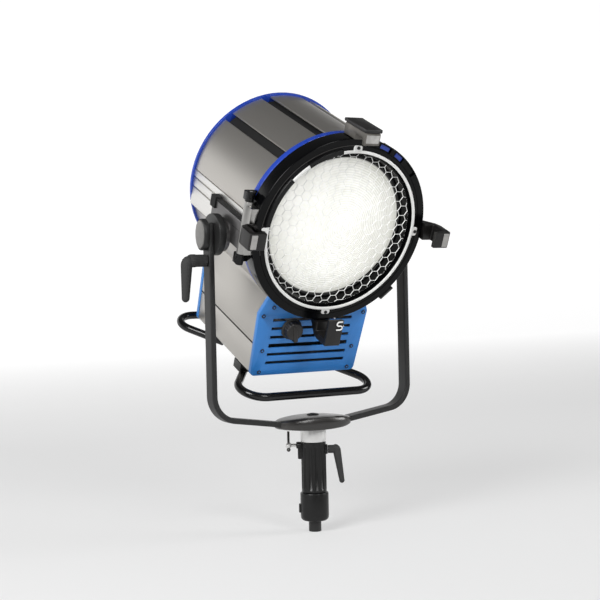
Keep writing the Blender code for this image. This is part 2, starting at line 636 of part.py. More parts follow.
# ---------------------------------------------------------------- lamp head: barrel
def build_barrel():
    y0 = HEAD_FRONT + FLANGE_THICK + GAP
    y1 = HEAD_REAR - FLANGE_THICK - GAP
    centre = (0.0, AXIS_RISE)
    front = along_y(arc(FLANGE_RADIUS, 0, 360 - 360 / STEPS, STEPS - 1, centre),
                    HEAD_FRONT, HEAD_FRONT + FLANGE_THICK,
                    [arc(0.140, 0, 360 - 360 / STEPS, STEPS - 1, centre)])
    lugs = []
    for low, high in KNUCKLES:
        lugs.append(rod((PIN_X, PIN_Y, low), (PIN_X, PIN_Y, high), KNUCKLE_RADIUS, 24))
        lugs.append(box(PIN_X - KNUCKLE_RADIUS, -0.1460, -0.0665, -0.0615, low, high))
        lugs.append(box(PIN_X - KNUCKLE_RADIUS, PIN_X + 0.006, PIN_Y, -0.0615, low, high))
    latch_lug = place(box(0.158, LATCH_HINGE_R - 0.0024 - GAP, HEAD_FRONT + 0.0002, HEAD_FRONT + FLANGE_THICK - 0.0002,
                          -LATCH_WIDTH / 2, LATCH_WIDTH / 2),
                      shift(z=AXIS_RISE) @ about_y(-math.radians(LATCH_ANGLE)))
    front = join(front, *lugs, latch_lug)
    front = cut(front, rod((PIN_X, PIN_Y, -0.1), (PIN_X, PIN_Y, 0.2), PIN_RADIUS + GAP, 20))
    finish(front, "front_flange", BLUE, HEAD)
    rear = along_y(arc(FLANGE_RADIUS, 0, 360 - 360 / STEPS, STEPS - 1, centre),
                   HEAD_REAR - FLANGE_THICK, HEAD_REAR,
                   [arc(0.145, 0, 360 - 360 / STEPS, STEPS - 1, centre)])
    cover = place(turned([(0, 0.006), (0.134, 0.006), (0.1455, 0.0), (0.1455, -0.005),
                          (0, -0.005)], STEPS),
                  shift(y=HEAD_REAR, z=AXIS_RISE) @ about_x(math.radians(-90)))
    vents = [box(-0.07, 0.07, HEAD_REAR - 0.02, HEAD_REAR + 0.02, z - 0.003, z + 0.003)
             for z in (AXIS_RISE + 0.03 * i for i in range(-2, 3))]
    finish(cut(join(rear, cover), *vents), "rear_flange", BLUE, HEAD)

    liner = along_y(arc(LINER_RADIUS, 0, 360 - 360 / 64, 63, centre), y0, y1,
                    [arc(LINER_RADIUS - LINER_WALL, 0, 360 - 360 / 64, 63, centre)])
    slot = box(KNOB_X - 0.014, KNOB_X + 0.014, -0.035, 0.125, -0.20, -0.06)
    low = AXIS_RISE - math.sqrt(LINER_RADIUS ** 2 - ROD_BRACKET_HALF ** 2)
    ends = [box(-ROD_BRACKET_HALF, ROD_BRACKET_HALF, y, y + 0.008, low, ROD_Z + 0.010)
            for y in ROD_BRACKETS]
    holes = [rod((s * ROD_X, -0.1, ROD_Z), (s * ROD_X, 0.2, ROD_Z), ROD_RADIUS + GAP, 24)
             for s in (-1, 1)]
    finish(cut(join(liner, *ends), slot, *holes), "barrel_liner", BLACK, HEAD)

    def panel(name, start, end, steps):
        piece = ring_band(BODY_RADIUS - SKIN, BODY_RADIUS, start, end, y0, y1, steps)
        return finish(piece, name, SATIN, HEAD)

    half, groove, upper = TOP_PANEL_HALF, GROOVE, UPPER_PANEL
    side_end = 180 - math.degrees(math.asin((RAIL_TOP + 0.0008 - AXIS_RISE) / BODY_RADIUS))
    side_start = 90 + half + groove + upper + groove
    panel("top_panel", 90 - half, 90 + half, 8)
    panel("upper_panel_left", 90 + half + groove, 90 + half + groove + upper, 8)
    panel("upper_panel_right", 90 - half - groove - upper, 90 - half - groove, 8)
    panel("side_panel_left", side_start, side_end, 12)
    panel("side_panel_right", 180 - side_end, 180 - side_start, 12)

    x_out = BODY_RADIUS
    outline = [(RAIL_INNER, RAIL_BOTTOM), (x_out, RAIL_BOTTOM)]
    for z in sorted(RAIL_SLOTS):
        outline += [(x_out, z - RAIL_SLOT_WIDTH / 2), (x_out - RAIL_SLOT_DEPTH, z - RAIL_SLOT_WIDTH / 2),
                    (x_out - RAIL_SLOT_DEPTH, z + RAIL_SLOT_WIDTH / 2),
                    (x_out, z + RAIL_SLOT_WIDTH / 2)]
    outline += [(x_out, RAIL_TOP), (RAIL_INNER, RAIL_TOP)]
    rail = along_y(outline, y0, y1)
    twin = both_sides(rail)
    finish(rail, "rail_right", SATIN, HEAD, smooth=0)
    finish(twin, "rail_left", SATIN, HEAD, smooth=0)

    x0, x1 = BODY_RADIUS + GAP, BODY_RADIUS + GAP + CARRIAGE_THICK
    plate = rounded(box(x0, x1, CARRIAGE_FRONT, CARRIAGE_REAR, CARRIAGE_BOTTOM, CARRIAGE_TOP),
                    0.0012, 1)
    block = box(x0 + 0.0005, x1 + 0.003, CARRIAGE_REAR - 0.016, CARRIAGE_REAR + 0.002,
                CARRIAGE_TOP - 0.014, CARRIAGE_TOP + 0.006)
    shaft = rod((x0 + 0.001, 0, 0), (YOKE_HALF + YOKE_THICK / 2 + 0.003, 0, 0), SHAFT_RADIUS)
    disc = rod((x1 - 0.001, 0, 0), (x1 + 0.009, 0, 0), BRAKE_RADIUS - 0.0066, 40)
    plate = join(plate, block, shaft, disc)
    twin = both_sides(plate)
    finish(plate, "trunnion_plate_right", GREY, HEAD)
    finish(twin, "trunnion_plate_left", GREY, HEAD)


# ---------------------------------------------------------------- lamp head: lower housing
def side_profile():
    """Outer line of the right lower skin, from the rail down to the seam."""
    start = math.degrees(math.asin((LOWER_TOP - AXIS_RISE) / BODY_RADIUS))
    end_x = NECK[0] - 0.0027
    end = -math.degrees(math.acos(end_x / BODY_RADIUS))
    round_part = arc(BODY_RADIUS, start, end, 10, (0.0, AXIS_RISE))
    lean = (SHOULDER[0] - BASE_HALF) / (SHOULDER[1] - BASE_BOTTOM)
    top = SEAM + SEAM_GAP / 2
    seam_x = SHOULDER[0] + (top - SHOULDER[1]) * lean
    return round_part + [NECK, SHOULDER, (seam_x, top)]


def base_profile():
    """Outer line of the base tray, from seam to seam."""
    lean = (SHOULDER[0] - BASE_HALF) / (SHOULDER[1] - BASE_BOTTOM)
    low = SEAM - SEAM_GAP / 2
    seam_x = SHOULDER[0] + (low - SHOULDER[1]) * lean
    corners = [(seam_x, low), (BASE_HALF, BASE_BOTTOM), (-BASE_HALF, BASE_BOTTOM), (-seam_x, low)]
    return filleted(corners, (0, BASE_CORNER, BASE_CORNER, 0), 4)


def end_panel_outline(inset):
    """Outline of an end panel of the lower housing, shrunk by inset."""
    radius = FLANGE_RADIUS + 0.0006 + inset
    reach = NECK[0] - inset
    half = math.degrees(math.asin(reach / radius))
    top = arc(radius, -90 - half, -90 + half, 16, (0.0, AXIS_RISE))
    x_s, x_b = SHOULDER[0] + 0.0006 - inset, BASE_HALF + 0.0006 - inset
    low = BASE_BOTTOM - 0.0006 + inset
    corner = max(0.0015, BASE_CORNER - inset)
    bottom = filleted([(x_s, SHOULDER[1]), (x_b, low), (-x_b, low), (-x_s, SHOULDER[1])],
                      (0, corner, corner, 0), 4)
    neck = NECK[1] - 1.5 * inset
    return top + [(reach, neck)] + bottom + [(-reach, neck)]


def build_lower_housing():
    y0 = HEAD_FRONT + FLANGE_THICK + GAP
    y1 = HEAD_REAR - FLANGE_THICK - GAP
    skin = along_y(band(side_profile(), -SKIN), y0, y1)
    twin = both_sides(skin)
    finish(skin, "lower_side_right", SATIN, HEAD)
    finish(twin, "lower_side_left", SATIN, HEAD)
    finish(along_y(band(base_profile(), -SKIN), y0, y1), "base_tray", SATIN, HEAD)

    front = along_y(end_panel_outline(0.0), PANEL_FRONT, y0 - GAP)
    hollow = along_y(end_panel_outline(PANEL_SHEET), PANEL_FRONT + PANEL_SHEET, y0 + 0.01)
    slots = [box(-LOUVRE_HALF, LOUVRE_HALF, PANEL_FRONT - 0.01, PANEL_FRONT + 0.02,
                 z - h / 2, z + h / 2) for z, h in zip(LOUVRES, LOUVRE_HEIGHTS)]
    hole = rod((KNOB_X, -0.1, KNOB_Z), (KNOB_X, -0.05, KNOB_Z), LEAD_RADIUS + RUN, 24)
    heads = [rod((side * x, PANEL_FRONT + 0.001, z), (side * x, PANEL_FRONT - 0.0022, z),
                 0.0034, 12) for x, z in PANEL_SCREWS for side in (-1, 1)]
    front = join(cut(front, hollow, *slots, hole), *heads)
    finish(front, "front_panel", AZURE, HEAD, smooth=30)

    rear = along_y(end_panel_outline(0.0), y1 + GAP, PANEL_REAR)
    hollow = along_y(end_panel_outline(PANEL_SHEET), y1 - 0.01, PANEL_REAR - PANEL_SHEET)
    slots = [box(-LOUVRE_HALF, LOUVRE_HALF, PANEL_REAR - 0.02, PANEL_REAR + 0.02,
                 z - h / 2, z + h / 2)
             for z, h in list(zip(LOUVRES, LOUVRE_HEIGHTS))[:3]]
    finish(cut(rear, hollow, *slots), "rear_panel", AZURE, HEAD, smooth=30)

    gland = place(turned([(0.0045, 0.022), (0.0075, 0.022), (0.0085, 0.012), (0.012, 0.010),
                          (0.012, 0.0), (0.0045, 0.0)], 24),
                  shift(0.060, PANEL_REAR + GAP, -0.215) @ about_x(math.radians(-90)))
    finish(gland, "cable_gland", PLASTIC, HEAD)
    igniter = rounded(box(-0.020, 0.085, 0.030, 0.140, BASE_BOTTOM + SKIN + GAP, -0.180), 0.003, 2)
    finish(igniter, "igniter_box", GREY, HEAD)


# ---------------------------------------------------------------- skids
def skid_points(bar_y, leg_y):
    """Centre line of one skid: leg, corner, straight bar, corner, leg."""
    def widest(corner_x):
        leg = Vector((SKID_LEG_X - corner_x, leg_y - bar_y))
        half = math.acos(-leg.normalized().x) / 2
        return corner_x + SKID_BEND - SKID_BEND / math.tan(half)

    corner_x = SKID_HALF
    for _ in range(40):
        corner_x += SKID_HALF - widest(corner_x)
    corners = [(-SKID_LEG_X, leg_y), (-corner_x, bar_y), (corner_x, bar_y), (SKID_LEG_X, leg_y)]
    path = filleted(corners, (0, SKID_BEND, SKID_BEND, 0), 9)
    return [(x, y, SKID_PLANE) for x, y in path]


def build_skids():
    for name, bar_y, leg_y in (("front", SKID_FRONT, SKID_FRONT_LEG),
                               ("rear", SKID_REAR, SKID_REAR_LEG)):
        finish(tube(skid_points(bar_y, leg_y), SKID_RADIUS, 2), "skid_" + name, BLACK, HEAD)
        toward = 1 if bar_y < leg_y else -1
        y0, y1 = sorted((leg_y - toward * 0.024, leg_y + toward * 0.004))
        clamp = box(-0.104, 0.104, y0, y1, SKID_PLANE, BASE_BOTTOM - GAP)
        line = [Vector(point) for point in skid_points(bar_y, leg_y)]
        line[0] += (line[0] - line[1]).normalized() * 0.015
        line[-1] += (line[-1] - line[-2]).normalized() * 0.015
        groove = tube(line, SKID_RADIUS + GAP, 2)
        finish(cut(clamp, groove), "skid_clamp_" + name, BLACK, HEAD, smooth=0)


# ---------------------------------------------------------------- lens door
def build_door():
    to_pin = shift(-PIN_X, -PIN_Y, -AXIS_RISE)

    def door_piece(obj, name, mat, smooth=35.0):
        return finish(place(obj, to_pin), name, mat, DOOR, smooth)

    profile = [(LENS_OPEN, -RING_BACK), (LENS_OPEN, -RING_BACK + LIP),
               (LENS_RADIUS + 0.0005, -RING_BACK + LIP), (LENS_RADIUS + 0.0005, -RETAINER_SEAT),
               (LENS_RADIUS + 0.0055, -RETAINER_SEAT), (MESH_RIM, -MESH_SEAT),
               (RING_MOUTH, -MESH_SEAT), (RING_MOUTH, -RING_FRONT), (0.166, -RING_FRONT),
               (RING_RADIUS, -RING_FRONT - 0.0025), (RING_RADIUS, -RING_BACK)]
    ring = place(turned(profile), TO_BEAM)
    windows = [ring_band(0.158, 0.175, a, b, RING_FRONT + 0.005, RING_BACK + 0.01, 4)
               for a, b in RIM_WINDOWS]
    relief = rod((PIN_X, PIN_Y, -0.030), (PIN_X, PIN_Y, 0.113), KNUCKLE_RADIUS + GAP, 24)
    door_piece(cut(ring, relief, *windows), "door_ring", BLACK)

    back = -RING_BACK + LIP + GAP
    face = [(0.0, back + LENS_THICK)]
    for i in range(1, RIDGES + 1):
        radius = (LENS_RADIUS - 0.006) * math.sqrt(i / RIDGES)
        face += [(radius, back + LENS_THICK - RIDGE_HEIGHT),
                 (radius + 0.0004, back + LENS_THICK)]
    face += [(LENS_RADIUS, back + LENS_THICK), (LENS_RADIUS, back), (0.0, back)]
    door_piece(place(turned(face, 48), TO_BEAM), "lens", GLASS, 20)

    seat = -RETAINER_SEAT + GAP
    retainer = turned([(0.1235, seat + 0.0012), (0.1315, seat + 0.0012), (0.1315, seat),
                       (0.1235, seat)], 48)
    door_piece(place(retainer, TO_BEAM), "lens_retainer", PLASTIC)
    door_piece(wire_mesh(), "wire_mesh", SILVER, 0)

    guard = extruded(arc(GUARD_OUTER, 0, 355, 71), 0.0030,
                     [arc(GUARD_INNER, 0, 355, 71)])
    for i in range(4):
        tab = place(box(GUARD_OUTER - 0.003, GUARD_TAB, -0.008, 0.008, 0.0, 0.0030),
                    about_z(math.radians(90 * i)))
        screw = place(rod((0.1520, 0, 0.0020), (0.1520, 0, 0.0050), 0.0028, 12),
                      about_z(math.radians(90 * i)))
        guard = join(guard, tab, screw)
    guard = place(guard, shift(y=RING_FRONT - GAP) @ TO_BEAM)
    door_piece(guard, "guard_ring", SILVER)

    sleeve = rod((PIN_X, PIN_Y, KNUCKLES[1][1] + GAP), (PIN_X, PIN_Y, KNUCKLES[0][0] - GAP),
                 KNUCKLE_RADIUS, 24)
    leaf = box(PIN_X - 0.0065, -0.150, -0.0990, PIN_Y, KNUCKLES[1][1] + 0.006,
               KNUCKLES[0][0] - 0.006)
    rim = place(rod((0, 0, 0.060), (0, 0, 0.120), RING_RADIUS + GAP, STEPS), TO_BEAM)
    strap = cut(join(sleeve, leaf), rim,
                rod((PIN_X, PIN_Y, -0.1), (PIN_X, PIN_Y, 0.2), PIN_RADIUS + RUN, 20))
    door_piece(strap, "hinge_strap", SILVER)

    r0 = RING_RADIUS + GAP
    for name, angle in (("right", 0), ("top", 90), ("left", 180), ("bottom", -90)):
        out, tip, floor, lip = BRACKET_OUT, BRACKET_TIP, SLOT_FLOOR, 0.168
        if name == "top":
            out, tip, floor = TOP_BRACKET_OUT, TOP_BRACKET_TIP, TOP_SLOT_FLOOR
        elif name == "bottom":
            lip = BOTTOM_LIP
        claw = [(r0, BRACKET_BACK), (out - 0.015, BRACKET_BACK), (out - 0.002, -0.092),
                (out, -0.118), (out, tip + 0.004), (out - 0.004, tip), (lip + 0.004, tip),
                (lip, tip + 0.003), (lip, tip + 0.008), (floor, tip + 0.008),
                (floor, SLOT_BACK), (r0, SLOT_BACK)]
        if name == "top":
            claw[:3] = [(r0, CLIP_HINGE_Y + 0.0015), (out - 0.0005, CLIP_HINGE_Y + 0.0015)]
        piece = extruded([(r, y) for r, y in claw], BRACKET_WIDTH)
        piece = place(piece, shift(z=-BRACKET_WIDTH / 2))
        piece = place(piece, shift(z=AXIS_RISE) @ about_y(-math.radians(angle)))
        if name == "left":
            piece = cut(piece, rod((PIN_X, PIN_Y, 0.0), (PIN_X, PIN_Y, 0.09),
                                   KNUCKLE_RADIUS + GAP, 24),
                        box(-0.19, -0.15, -0.1005, -0.070, 0.0, 0.09))
        door_piece(piece, "bracket_" + name, CAST, 0)

    hook = filleted([(-0.005, -0.0075), (0.0055, -0.0075), (0.0055, 0.0), (-0.0055, 0.0),
                     (-0.0055, 0.0075), (0.005, 0.0075)], (0, 0.0035, 0.0035, 0.0035, 0.0035, 0),
                    4)
    y_hook = BRACKET_TIP - GAP - 0.0013
    wire = tube([(x + 0.006, y_hook, z + AXIS_RISE - 0.159) for x, z in hook], 0.0013, 2)
    door_piece(wire, "retaining_spring", SILVER)

    pin = rod((PIN_X, PIN_Y, KNUCKLES[1][0]), (PIN_X, PIN_Y, KNUCKLES[0][1]), PIN_RADIUS, 20)
    finish(pin, "hinge_pin", SILVER, HEAD)

    half = LATCH_WIDTH / 2 - 0.002
    plate = box(-0.0019, 0.0019, RING_FRONT - LATCH_HINGE_Y, 0.0, -half, half)
    latch = join(rod((0, 0, -half), (0, 0, half), 0.0024, 20), plate)
    finish(latch, "door_latch", BLACK, LATCH, smooth=0)

    lid = rounded(box(-0.017, 0.017, -0.068, -0.001, -0.0040, 0.0020), 0.001, 1)
    lid = join(lid, rod((-0.017, 0, -0.001), (0.017, 0, -0.001), 0.0030, 20))
    finish(lid, "top_clip", BLACK, CLIP, smooth=0)


def wire_mesh():
    """Honeycomb sheet of hexagonal holes inside a flat rim."""
    half_cell = (MESH_CELL - MESH_WIRE) / 2
    corner = half_cell / math.cos(math.radians(30))
    thickness = 0.0020
    rim_outer = RING_MOUTH - 0.0008
    sheet = extruded(arc(rim_outer, 0, 360 - 360 / 48, 47), thickness)
    row_step = MESH_CELL * math.sin(math.radians(60))
    cells = []
    count = int(rim_outer / row_step) + 1
    for row in range(-count, count + 1):
        for col in range(-count - 1, count + 2):
            x = (col + (row % 2) / 2) * MESH_CELL
            y = row * row_step
            if math.hypot(x, y) + corner < rim_outer - 0.0015:
                bm = bmesh.new()
                bmesh.ops.create_cone(bm, cap_ends=True, segments=6, radius1=corner,
                                      radius2=corner, depth=4 * thickness)
                bmesh.ops.translate(bm, vec=(x, y, thickness / 2), verts=bm.verts)
                cells.append(mesh_object(bm))
    sheet = cut(sheet, cluster(*cells))
    return place(sheet, shift(y=MESH_SEAT - GAP) @ TO_BEAM)


# ---------------------------------------------------------------- focus and lamp
def build_focus():
    knob = rod((0, -GAP, 0), (0, -KNOB_DEPTH, 0), KNOB_RADIUS, 32, KNOB_RADIUS - 0.002)
    grip = box(-0.0045, 0.0045, -KNOB_DEPTH - 0.004, -0.003, -KNOB_RADIUS - 0.006, KNOB_RADIUS - 0.006)
    finish(join(knob, grip), "focus_knob", PLASTIC, KNOB)
    shaft = rod((0, 0, 0), (0, LEAD_END - PANEL_FRONT, 0), LEAD_RADIUS, 24)
    finish(shaft, "focus_screw", SILVER, KNOB)


def build_lamp():
    """The sliding lamp carriage, in axes with the lamp's axis at y = 0 and the rods at z = 0."""
    to_knob_x, to_knob_z = KNOB_X, KNOB_Z - ROD_Z
    to_axis = AXIS_RISE - ROD_Z
    plate = box(-0.054, 0.054, -0.022, ARM_Y + ARM_THICK + 0.0005, -0.007, 0.007)
    leg = box(to_knob_x - 0.009, to_knob_x + 0.009, -0.012, 0.012, to_knob_z - 0.010, 0.0)
    arm = box(-0.014, 0.014, ARM_Y, ARM_Y + ARM_THICK, 0.0, to_axis + 0.012)
    carriage = join(plate, leg, arm)
    carriage = cut(carriage,
                   *[rod((s * ROD_X, -0.1, 0), (s * ROD_X, 0.1, 0), ROD_RADIUS + RUN, 24)
                     for s in (-1, 1)],
                   rod((to_knob_x, -0.1, to_knob_z), (to_knob_x, 0.1, to_knob_z),
                       LEAD_RADIUS + RUN, 24))
    finish(carriage, "lamp_carriage", GREY, LAMP, smooth=0)

    top = 0.007 + GAP
    socket = rod((0, 0, top), (0, 0, top + 0.062), 0.0165, 32)
    finish(socket, "lamp_socket", CERAMIC, LAMP)
    base = top + 0.062 + GAP
    bulb = turned([(0, base + 0.088), (0.007, base + 0.084), (0.011, base + 0.072),
                   (0.015, base + 0.050), (0.011, base + 0.028), (0.0075, base + 0.014),
                   (0.0095, base + 0.012), (0.0095, base), (0, base)], 24)
    finish(bulb, "lamp", GLASS, LAMP)
    deep = REFLECTOR_RADIUS
    outside = [(deep * math.sin(math.radians(a)), deep * math.cos(math.radians(a)))
               for a in range(0, 57, 14)]
    inside = [((deep - 0.0015) * math.sin(math.radians(a)), (deep - 0.0015) * math.cos(math.radians(a)))
              for a in range(56, -1, -14)]
    bowl = turned(outside + inside[:-1] + [(0.0, deep - 0.0015)], 28)
    bowl = place(bowl, shift(y=ARM_Y - GAP - deep, z=to_axis) @ about_x(math.radians(-90)))
    finish(bowl, "reflector", MIRROR, LAMP)

    for name, x in (("left", -ROD_X), ("right", ROD_X)):
        guide = rod((x, HEAD_FRONT + 0.016, ROD_Z), (x, 0.148, ROD_Z), ROD_RADIUS, 24)
        finish(guide, "guide_rod_" + name, SILVER, HEAD)


build_stand_head()
build_yoke()
build_barrel()
build_lower_housing()
build_skids()
build_door()
build_focus()
build_lamp()
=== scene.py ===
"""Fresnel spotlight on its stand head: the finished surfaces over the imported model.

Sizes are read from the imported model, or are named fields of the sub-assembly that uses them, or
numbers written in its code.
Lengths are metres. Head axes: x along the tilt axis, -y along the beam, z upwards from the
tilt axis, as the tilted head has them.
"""
from __future__ import annotations

import json
import logging
import math
from dataclasses import dataclass, field
from enum import Enum
from typing import Iterable, Sequence

import bmesh
import bpy
import numpy as np
from mathutils import Matrix, Vector


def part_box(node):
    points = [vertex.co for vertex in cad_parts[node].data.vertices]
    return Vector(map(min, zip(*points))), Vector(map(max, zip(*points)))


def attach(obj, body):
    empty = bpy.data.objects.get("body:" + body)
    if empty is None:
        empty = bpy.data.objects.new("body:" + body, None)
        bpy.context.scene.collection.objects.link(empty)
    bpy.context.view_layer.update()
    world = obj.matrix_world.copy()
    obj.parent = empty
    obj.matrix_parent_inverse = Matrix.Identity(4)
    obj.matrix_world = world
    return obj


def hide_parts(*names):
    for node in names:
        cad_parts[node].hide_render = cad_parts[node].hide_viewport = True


LOG = logging.getLogger("fresnel_spotlight")
Array = np.ndarray


class Body(Enum):
    """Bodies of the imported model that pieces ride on."""

    STAND = "stand_head"
    CLAMP = "clamp_lever"
    T_SCREW = "t_screw"
    T_BAR = "t_bar"
    YOKE = "yoke"
    LOCK = "tilt_lock"
    HEAD = "head"
    DOOR = "lens_door"
    CLIP = "top_clip"
    LATCH = "door_latch"
    KNOB = "focus_knob"
    LAMP = "lamp_carriage"


# ------------------------------------------------------------------ finishes
class Nodes:
    """A small helper that adds and links shader nodes of one material."""

    def __init__(self, name: str) -> None:
        """Start a material.

        Args:
            name: The material's name.
        """
        self.material = bpy.data.materials.new(name)
        self.material.use_nodes = True
        self.tree = self.material.node_tree
        self.shader = self.tree.nodes["Principled BSDF"]

    def add(self, kind: str, **values: object) -> bpy.types.Node:
        """Add a node and set its properties or its input sockets by name.

        Args:
            kind: The node's type name.
            **values: Property names, or socket names with underscores for spaces.

        Returns:
            The new node.
        """
        node = self.tree.nodes.new(kind)
        for key, value in values.items():
            socket = key.replace("_", " ")
            if socket in node.inputs:
                node.inputs[socket].default_value = value
            else:
                setattr(node, key, value)
        return node

    def link(self, source: bpy.types.NodeSocket, target: bpy.types.NodeSocket) -> None:
        """Join two sockets."""
        self.tree.links.new(source, target)

    def place(self, matrix: Matrix | None = None) -> bpy.types.NodeSocket:
        """Object coordinates, turned into a piece's own axes when a matrix is given.

        Args:
            matrix: World matrix of the axes that the pattern follows.

        Returns:
            The socket with the coordinates.
        """
        coords = self.add("ShaderNodeTexCoord").outputs["Object"]
        if matrix is None:
            return coords
        mapping = self.add("ShaderNodeMapping", vector_type="TEXTURE")
        mapping.inputs["Location"].default_value = matrix.to_translation()
        mapping.inputs["Rotation"].default_value = matrix.to_euler("XYZ")
        self.link(coords, mapping.inputs["Vector"])
        return mapping.outputs["Vector"]

    def ramp(self, source: bpy.types.NodeSocket, stops: Sequence[tuple[float, tuple]],
             ) -> bpy.types.NodeSocket:
        """A colour ramp over a value.

        Args:
            source: The value socket.
            stops: Pairs of position and colour.

        Returns:
            The colour socket.
        """
        node = self.add("ShaderNodeValToRGB")
        elements = node.color_ramp.elements
        while len(elements) < len(stops):
            elements.new(0.5)
        for element, (position, colour) in zip(elements, stops):
            element.position = position
            element.color = (*colour, 1.0)
        self.link(source, node.inputs["Fac"])
        return node.outputs["Color"]

    def math(self, operation: str, first: object, second: object = None) -> bpy.types.NodeSocket:
        """A maths node on sockets or numbers.

        Args:
            operation: The operation's name.
            first: Socket or number.
            second: Socket or number, if the operation takes two.

        Returns:
            The value socket.
        """
        node = self.add("ShaderNodeMath", operation=operation)
        for socket, value in zip(node.inputs, (first, second)):
            if isinstance(value, bpy.types.NodeSocket):
                self.link(value, socket)
            elif value is not None:
                socket.default_value = value
        return node.outputs["Value"]

    def bump(self, height: bpy.types.NodeSocket, strength: float, depth: float) -> None:
        """Feed a height into the shader's normal.

        Args:
            height: The height socket, 0 to 1.
            strength: How strongly it shows.
            depth: The height's full scale in metres.
        """
        node = self.add("ShaderNodeBump", Strength=strength, Distance=depth)
        self.link(height, node.inputs["Height"])
        self.link(node.outputs["Normal"], self.shader.inputs["Normal"])


@dataclass(frozen=True)
class Paint:
    """Sprayed or baked enamel with faint cloudiness, orange peel and worn, dusty patches."""

    name: str
    colour: tuple[float, float, float]
    roughness: float = 0.36
    metallic: float = 0.0
    cloud: float = 0.18
    dust: float = 0.03
    peel: float = 0.25
    grain: float = 900.0
    shine: float = 0.5
    glow: float = 0.0

    def build(self) -> bpy.types.Material:
        """Make the material."""
        nodes = Nodes(self.name)
        here = nodes.place()
        broad = nodes.add("ShaderNodeTexNoise", Scale=14.0, Detail=5.0, Roughness=0.6)
        fine = nodes.add("ShaderNodeTexNoise", Scale=self.grain, Detail=3.0, Roughness=0.55)
        nodes.link(here, broad.inputs["Vector"])
        nodes.link(here, fine.inputs["Vector"])
        base = np.array(self.colour)
        dark = tuple(base * (1.0 - self.cloud))
        light = tuple(np.minimum(base * (1.0 + self.cloud) + self.dust * 0.4, 1.0))
        worn = tuple(np.minimum(base + self.dust, 1.0))
        colour = nodes.ramp(broad.outputs["Fac"], ((0.30, dark), (0.52, self.colour),
                                                   (0.68, light), (0.80, worn)))
        nodes.link(colour, nodes.shader.inputs["Base Color"])
        rough = nodes.math("MULTIPLY_ADD", broad.outputs["Fac"], 0.22)
        rough.node.inputs[2].default_value = self.roughness - 0.11
        nodes.link(rough, nodes.shader.inputs["Roughness"])
        nodes.shader.inputs["Metallic"].default_value = self.metallic
        nodes.shader.inputs["Specular IOR Level"].default_value = self.shine
        # Painted light: a glow above 0 makes the paint's own colour glow, on parts that are no
        # lamp.
        if self.glow:
            nodes.link(colour, nodes.shader.inputs["Emission Color"])
            nodes.shader.inputs["Emission Strength"].default_value = self.glow
        nodes.bump(fine.outputs["Fac"], self.peel, 0.0002)
        return nodes.material


@dataclass(frozen=True)
class Brushed:
    """Metal with a fine grain drawn along one axis of the lamp head."""

    name: str
    colour: tuple[float, float, float]
    roughness: float = 0.34
    stretch: tuple[float, float, float] = (900.0, 12.0, 900.0)
    contrast: float = 0.10
    turned: bool = True

    def build(self) -> bpy.types.Material:
        """Make the material."""
        nodes = Nodes(self.name)
        here = nodes.place(HeadAxes.read().matrix if self.turned else None)
        scale = nodes.add("ShaderNodeMapping", vector_type="POINT")
        scale.inputs["Scale"].default_value = self.stretch
        nodes.link(here, scale.inputs["Vector"])
        grain = nodes.add("ShaderNodeTexNoise", Scale=1.0, Detail=4.0, Roughness=0.65)
        nodes.link(scale.outputs["Vector"], grain.inputs["Vector"])
        stain = nodes.add("ShaderNodeTexNoise", Scale=9.0, Detail=4.0, Roughness=0.6)
        nodes.link(here, stain.inputs["Vector"])
        base = np.array(self.colour)
        low = tuple(base * (1.0 - self.contrast))
        high = tuple(np.minimum(base * (1.0 + self.contrast), 1.0))
        mixed = nodes.math("MULTIPLY_ADD", grain.outputs["Fac"], 0.6)
        share = nodes.math("MULTIPLY", stain.outputs["Fac"], 0.4)
        nodes.link(share, mixed.node.inputs[2])
        nodes.link(nodes.ramp(mixed, ((0.30, low), (0.70, high))),
                   nodes.shader.inputs["Base Color"])
        rough = nodes.math("MULTIPLY_ADD", stain.outputs["Fac"], 0.16)
        rough.node.inputs[2].default_value = self.roughness - 0.08
        nodes.link(rough, nodes.shader.inputs["Roughness"])
        nodes.shader.inputs["Metallic"].default_value = 1.0
        nodes.bump(grain.outputs["Fac"], 0.10, 0.0001)
        return nodes.material


@dataclass(frozen=True)
class Cast:
    """Painted casting: a sandy skin with slightly polished high spots."""

    name: str
    colour: tuple[float, float, float]
    roughness: float = 0.45
    metallic: float = 0.3
    grit: float = 520.0
    shine: float = 0.5

    def build(self) -> bpy.types.Material:
        """Make the material."""
        nodes = Nodes(self.name)
        here = nodes.place()
        grit = nodes.add("ShaderNodeTexNoise", Scale=self.grit, Detail=4.0, Roughness=0.7)
        pits = nodes.add("ShaderNodeTexVoronoi", Scale=self.grit * 0.8)
        patch = nodes.add("ShaderNodeTexNoise", Scale=22.0, Detail=5.0, Roughness=0.6)
        for texture in (grit, pits, patch):
            nodes.link(here, texture.inputs["Vector"])
        base = np.array(self.colour)
        nodes.link(nodes.ramp(patch.outputs["Fac"], ((0.32, tuple(base * 0.7)),
                                                     (0.55, self.colour),
                                                     (0.75, tuple(base * 1.6 + 0.01)))),
                   nodes.shader.inputs["Base Color"])
        rough = nodes.math("MULTIPLY_ADD", patch.outputs["Fac"], 0.25)
        rough.node.inputs[2].default_value = self.roughness - 0.12
        nodes.link(rough, nodes.shader.inputs["Roughness"])
        nodes.shader.inputs["Metallic"].default_value = self.metallic
        nodes.shader.inputs["Specular IOR Level"].default_value = self.shine
        height = nodes.math("MULTIPLY_ADD", grit.outputs["Fac"], 0.7)
        share = nodes.math("MULTIPLY", pits.outputs["Distance"], 0.3)
        nodes.link(share, height.node.inputs[2])
        nodes.bump(height, 0.35, 0.0003)
        return nodes.material


